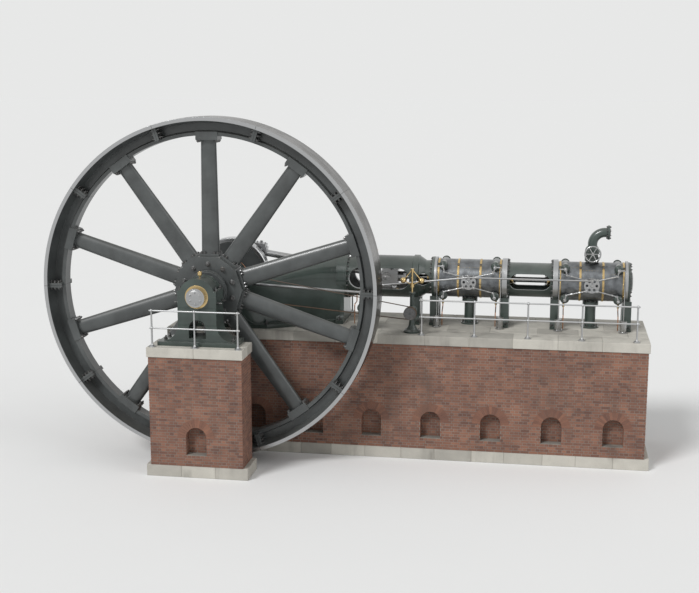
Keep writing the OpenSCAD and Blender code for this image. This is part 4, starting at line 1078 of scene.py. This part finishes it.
def over_foot(point):
    """Leaves a flange's nuts out where the cast feet hold it."""
    return point.z < SHAFT_Z - 0.36 and abs(point.y) < 0.46


class ENGINE_OT_flange_nuts(Operator):
    """Studs every flange of the guide, cylinders, pipes and valve chambers"""

    bl_idname = "engine.flange_nuts"
    bl_label = "Flange nuts"

    def execute(self, context):
        pile = Pile()
        across = sizes().flange_nut
        # Radii of the nuts round the guide, cylinders, rear cover and the cover's raised middle
        guide_r, cylinder_r, cover_r, raised_r = 0.6265, 0.55, 0.515, 0.42
        cover_t, raised_t = 0.05, 0.057
        line = [
            (GUIDE_X0 + FLANGE_T, 1, guide_r, 28, across * 0.9, None),
            (FRONT_X0 - FLANGE_T, -1, cylinder_r, 24, across, over_foot),
            (FRONT_X1 + FLANGE_T, 1, cylinder_r, 24, across, over_foot),
            (REAR_X0 - FLANGE_T, -1, cylinder_r, 24, across, over_foot),
            (REAR_X1 + cover_t, 1, cover_r, 24, across, over_foot),
            (REAR_X1 + raised_t, 1, raised_r, 12, across * 0.6, None),
        ]
        for x, way, r, count, size, skip in line:
            ring_of_nuts(pile, (x, 0, SHAFT_Z), (way, 0, 0), r, count, size, skip=skip)
        chamber_r, chamber_nut = 0.106, 0.026
        exhaust_r, steam_r, pipe_nut = 0.188, 0.167, 0.036
        for x0, x1 in CYLINDERS:
            middle_x = (x0 + x1) / 2
            # Covers of the valve chambers on both sides, then the exhaust pipe's two flanges
            for x, z in product((x0 + VALVE_IN, x1 - VALVE_IN), (-VALVE_Z, VALVE_Z)):
                for y, way in ((-0.5, -1), (0.516, 1)):
                    ring_of_nuts(pile, (x, y, SHAFT_Z + z), (0, way, 0), chamber_r, 8, chamber_nut)
            joint_z = FLOOR_Z + 0.7
            for way in (1, -1):
                spot = (middle_x, 0, joint_z + way * PIPE_FLANGE_T)
                ring_of_nuts(pile, spot, (0, 0, way), exhaust_r, 10, pipe_nut)
            ring_of_nuts(pile, (middle_x, 0, FLOOR_Z + 0.04), UP, 0.2, 8, 0.042)
        # Steam pipe: flanges over the rear cylinder, blank flange at the elbow's mouth, stop valve's bonnet
        branch_x, branch_z = sum(CYLINDERS[1]) / 2, SHAFT_Z + 0.63
        for way in (1, -1):
            spot = (branch_x, 0, branch_z + way * PIPE_FLANGE_T)
            ring_of_nuts(pile, spot, (0, 0, way), steam_r, 8, pipe_nut)
        mouth_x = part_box("steam_elbow")[1].x
        mouth_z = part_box("steam_elbow")[1].z - 0.2
        for x, way in ((mouth_x, 1), (mouth_x - PIPE_FLANGE_T, -1)):
            ring_of_nuts(pile, (x, 0, mouth_z), (way, 0, 0), steam_r, 8, pipe_nut)
        blank = lathe([(0.12, 0.0), (0.12, 0.012), (0.112, 0.018), (0.045, 0.018), (0.04, 0.03)], 32)
        pile.add(blank, facing((mouth_x, 0, mouth_z), (1, 0, 0)))
        ring_of_nuts(pile, (branch_x, -0.37, branch_z + 0.2184), (0, -1, 0), 0.122, 8, 0.03)
        pile.finish("flange_nuts", "nut", "engine", "bright_steel")
        return {"FINISHED"}


class ENGINE_OT_anchors(Operator):
    """Adds the foundation bolts and the nuts of caps, stands and rails"""

    bl_idname = "engine.anchors"
    bl_label = "Foundation and cap nuts"

    def execute(self, context):
        size = sizes()
        rng = random.Random(5)
        pile = Pile()
        sole, foot = FLOOR_Z + 0.11, FLOOR_Z + 0.097
        lug = sole + 0.012
        # Main bearing, outboard pedestal, the bed's girder and its end under the guide
        spots = [(x, y, lug) for x in (-0.935, 0.935) for y in (-1.48, -1.23, -0.98)]
        spots += [(x, y, lug) for x in (-0.915, 0.915) for y in (-3.6, -3.94)]
        girder = ((-0.88, 0.45), (-0.88, -0.1), (-0.88, -0.66), (0.25, 0.52), (1.4, 0.56),
                  (2.1, 0.62), (1.25, -1.6), (1.8, -1.33), (2.4, -0.99))
        spots += [(x, y, sole) for x, y in girder]
        spots += [(3.16, y, sole + 0.002) for y in (-0.72, 0.72)]
        feet = [5.295, FRONT_X0, FRONT_X1, REAR_X0, REAR_X1]
        pairs = product(feet, (-0.075, 0.075), (-0.47, 0.47))
        foot_spots = [(x + aside, y, foot) for x, aside, y in pairs]
        rows = [(nut(size.anchor_nut, 0.5), spots), (nut(size.anchor_nut * 0.72, 0.45), foot_spots)]
        # Bearing caps on both sides of the shaft
        cap, outer_cap, cap_z = nut(size.cap_nut, 0.5), nut(size.cap_nut * 0.85, 0.5), SHAFT_Z + 0.15
        for side in (-1, 1):
            rows.append((cap, [(side * 0.495, y, cap_z) for y in (-1.5, -0.96)]))
            rows.append((outer_cap, [(side * 0.48, y, cap_z) for y in (-3.98, -3.56)]))
        rocker = product((ROCKER_X - 0.21, ROCKER_X + 0.21), (-1.595, -1.525))
        rows.append((nut(0.04), [(x, y, FLOOR_Z + 0.068) for x, y in rocker]))
        for shape, places in rows:
            for spot in places:
                pile.add(shape, facing(spot, UP, rng.uniform(0, 1)))
        # Governor's stand, dashpots and rail posts
        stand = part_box("governor_stand")
        ring_of_nuts(pile, (middle(stand, X), middle(stand, Y), FLOOR_Z + 0.05), UP, 0.195, 6, 0.036)
        for x0, x1 in CYLINDERS:
            for x in (x0 + VALVE_IN - 0.16, x1 - VALVE_IN + 0.16):
                ring_of_nuts(pile, (x, -0.68, FLOOR_Z + 0.04), UP, 0.105, 4, 0.022)
        for x, y in post_spots():
            ring_of_nuts(pile, (x, y, FLOOR_Z + 0.024), UP, 0.066, 4, 0.018)
        pile.finish("anchor_nuts", "nut", "engine", "bright_steel")
        return {"FINISHED"}


def post_spots():
    """Where the handrail posts stand: runs along X, each with its ends, its Y and its number of bays."""
    runs = ((5.62, 11.34, -1.81, 4), (-1.38, 3.25, 1.01, 3), (-1.15, 1.15, -4.37, 2))
    return [(start + (end - start) * i / bays, y) for start, end, y, bays in runs for i in range(bays + 1)]


class ENGINE_OT_bearing_fittings(Operator):
    """Adds wedge bolts, the bed's hand hole cover, and bolts of the eccentric and the governor's pulley"""

    bl_idname = "engine.bearing_fittings"
    bl_label = "Bearing fittings"

    def execute(self, context):
        pile = Pile()
        # Wedge bolts with lock nuts, standing out of the bearings' sides
        bolt = joined(hexagon(0.062, 0.035), lathe([(0.017, 0.03), (0.017, 0.12), (0.013, 0.124)], 12),
                      hexagon(0.05, 0.03, z=0.066))
        wedges = [(-0.56, y, -1) for y in (-1.03, -1.43)]
        wedges += [(side * 0.52, y, side) for side in (-1, 1) for y in (-3.58, -3.98)]
        for x, y, side in wedges:
            pile.add(bolt, facing((x, y, SHAFT_Z - 0.17), (side, 0, 0), y))
        # Oval cover over the bed's hand hole, on the wheel's side
        face = facing((0.0, BEARING_FACE_Y, FLOOR_Z + 0.56), (0, -1, 0))
        rim = lathe([(1.0, 0.0), (1.0, 0.016), (0.96, 0.022), (0.8, 0.022), (0.76, 0.014), (0.1, 0.014)], 48)
        pile.add(rim, face @ Matrix.Diagonal((0.27, 0.19, 1.0, 1.0)))
        for angle in angles(10):
            spot = moved(0.237 * math.cos(angle), 0.167 * math.sin(angle), 0.022)
            pile.add(nut(0.036), face @ spot)
        # Bolts through the eccentric's strap
        strap = moved(0.09, -1.76, SHAFT_Z) @ turned("Y", math.radians(2.67))
        for z, y, side in product((-0.475, 0.475), (-0.028, 0.028), (-1, 1)):
            pile.add(nut(0.034), strap @ moved(side * 0.06, y, z) @ turned("Y", side * QUARTER))
        # Hub and bolts of the governor's pulley
        low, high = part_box("governor_drive")
        hub = facing((high.x - DRIVEN_R, low.y + 0.025, low.z + DRIVEN_R), (0, -1, 0))
        pile.add(lathe([(0.168, 0.0), (0.168, 0.008), (0.15, 0.008), (0.142, 0.001), (0.05, 0.001)], 40), hub)
        for angle in angles(6, 0.5):
            pile.add(nut(0.03), hub @ moved(0.1 * math.cos(angle), 0.1 * math.sin(angle), 0.0))
        pile.finish("bearing_fittings", "nut", "engine", "bright_steel")
        return {"FINISHED"}


class ENGINE_OT_lagging(Operator):
    """Adds the lagging's seams, screws and band clasps"""

    bl_idname = "engine.lagging"
    bl_label = "Lagging seams and screws"

    def execute(self, context):
        seams, screws = Pile(), Pile()
        seam_w, seam_t, screw_pitch = 0.05, 0.0022, 0.07
        band_half, band_r, screw_r = 0.03, LAGGING_R + 0.012, LAGGING_R + 0.002
        lug = block(0.05, 0.016, 0.036, 0.003)
        head = lathe([(0.008, -0.001), (0.0075, 0.002), (0.004, 0.0045), (0.001, 0.005)], 8)
        for x0, x1 in CYLINDERS:
            middle_x = (x0 + x1) / 2
            reach = (x1 - x0) / 2 - FLANGE_T - 0.048
            bands = [middle_x + part * reach for part in (-1, -0.36, 0.36, 1)]
            for number, (a, b) in enumerate(zip(bands, bands[1:])):
                for angle in (0.62, 2.2, 3.8, 5.3):
                    angle += 0.2 * number
                    # No seam runs across a pipe's branch
                    if abs(math.sin(angle)) > 0.97 and a < middle_x < b:
                        continue
                    strip = curved_strip(a + band_half, b - band_half, angle, seam_w, LAGGING_R, seam_t)
                    seams.add(strip, HERE)
                    steps = int((b - a) / screw_pitch)
                    for i in range(1, steps):
                        x = a + (b - a) * i / steps
                        screws.add(head, on_barrel(x, angle, screw_r))
            for x in bands:
                for angle in (2.25, 5.4):
                    clasp = on_barrel(x, angle, band_r)
                    for side in (-1, 1):
                        seams.add(lug, clasp @ moved(0, side * 0.02, 0.014))
                    bolt = clasp @ moved(0, -0.036, 0.018) @ turned("X", -QUARTER)
                    screws.add(lathe([(0.006, 0), (0.006, 0.075), (0.004, 0.077)], 8), bolt)
                    for z in (0.002, 0.064):
                        screws.add(hexagon(0.02, 0.01), bolt @ moved(0, 0, z))
                for angle in angles(36, 0.5):
                    screws.add(head, on_barrel(x, angle, band_r))
        seams.finish("lagging_seams", "lagging", "engine", "lagging_steel")
        screws.finish("lagging_screws", "brass", "engine", "brass")
        return {"FINISHED"}


def on_barrel(x, angle, r):
    """A place on a barrel round the cylinder line, X along it and Z outward. Angle 0 faces +Y."""
    out = Vector((0, math.cos(angle), math.sin(angle)))
    along = Vector((1, 0, 0))
    return axes_at((x, r * out.y, SHAFT_Z + r * out.z), along, out.cross(along), out)


def curved_strip(x0, x1, angle, width, r, thick, steps=4):
    """A strip of sheet lying along a barrel."""
    points, faces = [], []
    half = width / 2 / r
    for x in (x0, x1):
        for level in (r - 0.001, r + thick):
            for k in range(steps + 1):
                a = angle - half + 2 * half * k / steps
                points.append((x, level * math.cos(a), SHAFT_Z + level * math.sin(a)))
    n = steps + 1
    for k in range(steps):
        faces.append([n + k, n + k + 1, 3 * n + k + 1, 3 * n + k][::-1])
    faces.append([0, n, 3 * n, 2 * n][::-1])
    faces.append([n - 1, 2 * n - 1, 4 * n - 1, 3 * n - 1])
    faces.append(list(range(n)) + list(range(2 * n - 1, n - 1, -1)))
    faces.append((list(range(2 * n, 3 * n)) + list(range(4 * n - 1, 3 * n - 1, -1)))[::-1])
    return points, faces


class ENGINE_OT_glands(Operator):
    """Adds the stuffing boxes' studs and lock nuts"""

    bl_idname = "engine.glands"
    bl_label = "Gland studs"

    def execute(self, context):
        pile = Pile()
        stud = lathe([(0.012, 0.0), (0.012, 0.19), (0.009, 0.194)], 10)
        stud_ring, stud_x, nut_x = 0.15, 0.1, 0.226
        for x, way in ((FRONT_X0, -1), (FRONT_X1, 1), (REAR_X0, -1)):
            for angle in angles(4, 0.5):
                y, z = stud_ring * math.cos(angle), SHAFT_Z + stud_ring * math.sin(angle)
                pile.add(stud, facing((x + way * stud_x, y, z), (way, 0, 0)))
                pile.add(nut(0.036), facing((x + way * nut_x, y, z), (way, 0, 0)))
        pile.finish("gland_studs", "bright_nut", "engine", "bright_steel")
        lock = Pile()
        nose = CROSSHEAD_X + 0.48
        lock.add(hexagon(0.26, 0.09), facing((nose, 0, SHAFT_Z), (1, 0, 0), 0.3))
        for side in (-1, 1):
            # Nuts that hold the slippers, under and over the crosshead
            for rise, x in product((-1, 1), (CROSSHEAD_X - 0.17, CROSSHEAD_X + 0.17)):
                lock.add(nut(0.034), facing((x, side * 0.2, SHAFT_Z + rise * 0.32), (0, 0, -rise)))
            spot = (CROSSHEAD_X, side * 0.24, SHAFT_Z)
            lock.add(hexagon(0.15, 0.03), facing(spot, (0, side, 0), 0.2))
            lock.add(lathe([(0.035, 0.03), (0.035, 0.045), (0.025, 0.05)], 16), facing(spot, (0, side, 0)))
        lock.finish("crosshead_nuts", "bright_nut", "crosshead", "bright_steel")
        return {"FINISHED"}


def rod_place(x, y, z):
    """A point given along the connecting rod from its crosshead pin, in the row frame."""
    return moved(CROSSHEAD_X, 0, SHAFT_Z) @ turned("Y", ROD_TILT) @ moved(x, y, z)


class ENGINE_OT_rod_fittings(Operator):
    """Adds the connecting rod's set screws and oiler"""

    bl_idname = "engine.rod_fittings"
    bl_label = "Connecting rod fittings"

    def execute(self, context):
        pile = Pile()
        side_face, top_face = 0.15, 0.26
        for x, z, side in product((-3.86, -3.7), (-0.1, 0.1), (-1, 1)):
            pile.add(nut(0.034, 0.1), rod_place(x, side * side_face, z) @ turned("X", -side * QUARTER))
        # Set screws that hold the cotter
        for x in (-3.9, -3.66):
            pile.add(nut(0.04, 0.3), rod_place(x, 0, top_face))
        pile.finish("rod_screws", "bright_nut", "connecting_rod", "bright_steel")
        cups = Pile()
        cup = lathe([(0.014, 0.0), (0.014, 0.02), (0.035, 0.035), (0.04, 0.05), (0.04, 0.1), (0.03, 0.112),
                     (0.008, 0.116), (0.008, 0.13), (0.004, 0.132)], 20)
        cups.add(cup, rod_place(-ROD_L, 0, top_face))
        cups.finish("rod_oiler", "brass", "connecting_rod", "brass")
        return {"FINISHED"}


class ENGINE_OT_oil_pipes(Operator):
    """Runs the oil pipes and the drains of guide and cylinders, with their cocks"""

    bl_idname = "engine.oil_pipes"
    bl_label = "Oil pipes"

    def execute(self, context):
        pipes, unions = Pile(), Pile()
        cap_top, drain_in, drain_y, drain_z = SHAFT_Z + 0.46, 0.235, -0.22, FLOOR_Z + 0.02
        for y in (-1.015, -1.445):
            pipe(pipes, 0.009, 0.05, (0, y, cap_top + 0.09), (0.16, y, cap_top + 0.09),
                 (0.43, y, cap_top - 0.06), (0.585, y, SHAFT_Z + 0.2), (0.585, y, SHAFT_Z - 0.3))
        # Drain from the crosshead guide
        x, z = 3.6, SHAFT_Z - 0.62
        pipe(pipes, 0.016, 0.06, (x, -0.3, z + 0.12), (x, -0.3, z - 0.1), (x, -0.7, z - 0.1),
             (x, -0.7, drain_z))
        union = lathe([(0.022, -0.045), (0.034, -0.03), (0.034, 0.03), (0.022, 0.045)], 16)
        for x0, x1 in CYLINDERS:
            # Drain cocks under the flanges
            for x in (x0 + drain_in, x1 - drain_in):
                pipe(pipes, 0.015, 0.07, (x, drain_y, SHAFT_Z - 0.47), (x, drain_y, SHAFT_Z - 0.78),
                     (x, drain_y - 0.25, SHAFT_Z - 0.9), (x, drain_y - 0.25, drain_z))
                place = moved(x, drain_y, SHAFT_Z - 0.66)
                unions.add(union, place)
                unions.add(hexagon(0.05, 0.03, z=0.045), place)
                unions.add(tube([(0, 0, 0), (0, -0.09, 0)], 0.009), place)
                unions.add(tube([(0, -0.085, -0.05), (0, -0.085, 0.05)], 0.012), place)
        pipes.finish("oil_pipes", "copper", "engine", "brass")
        unions.finish("drain_cocks", "brass", "engine", "brass")
        return {"FINISHED"}


class ENGINE_OT_gear_fittings(Operator):
    """Adds the nuts of the valve gear's pins and the lock nuts of its links"""

    bl_idname = "engine.gear_fittings"
    bl_label = "Valve gear fittings"

    def execute(self, context):
        pile = Pile()
        out = (0, -1, 0)
        gear_y, pin_rise, wrist_r = -0.7, 0.15, 0.21
        link_y, wrist_in = gear_y - 0.054, wrist_r * math.cos(math.pi / 4)
        for x0, x1 in CYLINDERS:
            middle_x = (x0 + x1) / 2
            pile.add(nut(0.07, 0.3), facing((middle_x, gear_y - 0.06, SHAFT_Z), out, 0.2))
            pile.add(nut(0.04, 0.3), facing((middle_x, gear_y - 0.166, SHAFT_Z + pin_rise), out, 0.2))
            valve_x = (x1 - x0) / 2 - VALVE_IN
            for sx, sz in product((-1, 1), repeat=2):
                pin = Vector((middle_x + sx * wrist_in, 0, SHAFT_Z + sz * wrist_in))
                crank = Vector((middle_x + sx * (valve_x - 0.04), 0, SHAFT_Z + sz * (VALVE_Z - 0.15)))
                for spot in (pin, crank):
                    pile.add(nut(0.034, 0.3), facing((spot.x, link_y - 0.03, spot.z), out, 0.4))
                # Lock nuts of the link's turnbuckle
                along = (crank - pin).normalized()
                for part in (0.3, 0.7):
                    spot = pin.lerp(crank, part)
                    pile.add(hexagon(0.044, 0.05), facing((spot.x, link_y, spot.z), along, 0.1))
                stem = (middle_x + sx * valve_x, gear_y - 0.034, SHAFT_Z + sz * VALVE_Z)
                pile.add(nut(0.05, 0.25), facing(stem, out, 0.5))
        pile.add(nut(0.09, 0.3), facing((ROCKER_X, -0.87, SHAFT_Z - 0.64), (0, 1, 0), 0.2))
        pile.finish("gear_nuts", "bright_nut", "engine", "bright_steel")
        return {"FINISHED"}


class ENGINE_OT_finishes(Operator):
    """Makes the materials and gives every CAD node its finish"""

    bl_idname = "engine.finishes"
    bl_label = "Finishes"

    def execute(self, context):
        finishes()
        for material, names in DRESS.items():
            for name in names:
                slots = NODES[name].data.materials
                slots.clear()
                slots.append(MATERIALS[material])
        missing = set(NODES) - {name for names in DRESS.values() for name in names}
        if missing:
            raise RuntimeError("no finish for " + ", ".join(sorted(missing)))
        smooth_castings("engine_bed", "flywheel_arms", "cylinder_covers")
        return {"FINISHED"}


class ENGINE_OT_stage(Operator):
    """Adds the floor, the lights and the camera"""

    bl_idname = "engine.stage"
    bl_label = "Floor, light and camera"

    def execute(self, context):
        stage = context.scene.engine_stage
        mesh = bpy.data.meshes.new("floor")
        reach = 400.0
        corners = [(x * reach, y * reach, 0) for x, y in ((-1, -1), (1, -1), (1, 1), (-1, 1))]
        mesh.from_pydata(corners, [], [[0, 1, 2, 3]])
        floor = bpy.data.objects.new("floor", mesh)
        context.scene.collection.objects.link(floor)
        material, tree, shader = surface("Pale floor", Roughness=1.0, Specular_IOR_Level=0.0)
        clouds = noise(tree, object_place(tree), 0.4, 3.0)
        connect(tree, shader, Base_Color=mix_colour(tree, clouds, shade(stage.floor, 0.985), stage.floor))
        mesh.materials.append(material)
        # An even world, seen as a pale background by the camera and in polished surfaces
        world = bpy.data.worlds.new("Studio")
        context.scene.world = world
        world.use_nodes = True
        tree = world.node_tree
        backdrop = tree.nodes["Background"]
        rays = node(tree, "LightPath")
        seen = maths(tree, "MAXIMUM", rays.outputs["Is Camera Ray"], rays.outputs["Is Glossy Ray"])
        seen = maths(tree, "MAXIMUM", seen, rays.outputs["Is Transmission Ray"])
        backdrop.inputs["Color"].default_value = (0.93, 0.935, 0.93, 1.0)
        tree.links.new(mix_number(tree, seen, stage.sky, stage.backdrop), backdrop.inputs["Strength"])
        lamps = (("key", stage.key, (48, 0, -34), 18), ("fill", stage.fill, (58, 0, 70), 40))
        for name, power, turn, wide in lamps:
            lamp = bpy.data.lights.new(name, "SUN")
            lamp.energy = power
            lamp.angle = math.radians(wide)
            held = bpy.data.objects.new(name, lamp)
            held.rotation_euler = [math.radians(a) for a in turn]
            context.scene.collection.objects.link(held)
        camera = bpy.data.cameras.new("camera")
        camera.lens = stage.lens
        camera.clip_end = 2000.0
        eye, aim = Vector((9.0, -33.7, 10.6)), Vector((3.5, -1.0, 4.35))
        held = bpy.data.objects.new("camera", camera)
        held.location = eye
        held.rotation_euler = (aim - eye).to_track_quat("-Z", "Y").to_euler()
        context.scene.collection.objects.link(held)
        context.scene.camera = held
        context.scene.view_settings.view_transform = "Standard"
        return {"FINISHED"}


OPERATORS = (
    ENGINE_OT_stage, ENGINE_OT_finishes, ENGINE_OT_masonry, ENGINE_OT_wheel_fastenings,
    ENGINE_OT_crank_fastenings, ENGINE_OT_flange_nuts, ENGINE_OT_anchors, ENGINE_OT_bearing_fittings,
    ENGINE_OT_lagging, ENGINE_OT_glands, ENGINE_OT_rod_fittings, ENGINE_OT_oil_pipes,
    ENGINE_OT_gear_fittings,
)


class ENGINE_PT_panel(Panel):
    """Lists the engine's settings and steps"""

    bl_label = "Steam engine"
    bl_idname = "ENGINE_PT_panel"
    bl_space_type = "VIEW_3D"
    bl_region_type = "UI"
    bl_category = "Engine"

    def draw(self, context):
        for group in (context.scene.engine_finish, context.scene.engine_sizes, context.scene.engine_stage):
            column = self.layout.column()
            for name in group.bl_rna.properties.keys():
                if name not in ("rna_type", "name"):
                    column.prop(group, name)
        for step in OPERATORS:
            self.layout.operator(step.bl_idname)


SETTINGS = {"engine_finish": FinishSettings, "engine_sizes": SizeSettings, "engine_stage": StageSettings}


def register():
    for group in SETTINGS.values():
        bpy.utils.register_class(group)
    for step in (*OPERATORS, ENGINE_PT_panel):
        bpy.utils.register_class(step)
    for name, group in SETTINGS.items():
        setattr(bpy.types.Scene, name, PointerProperty(type=group))


def unregister():
    for name in SETTINGS:
        delattr(bpy.types.Scene, name)
    for step in (ENGINE_PT_panel, *reversed(OPERATORS)):
        bpy.utils.unregister_class(step)
    for group in SETTINGS.values():
        bpy.utils.unregister_class(group)


def main():
    register()
    for step in OPERATORS:
        family, call = step.bl_idname.split(".")
        getattr(getattr(bpy.ops, family), call)()


if __name__ == "__main__":
    main()
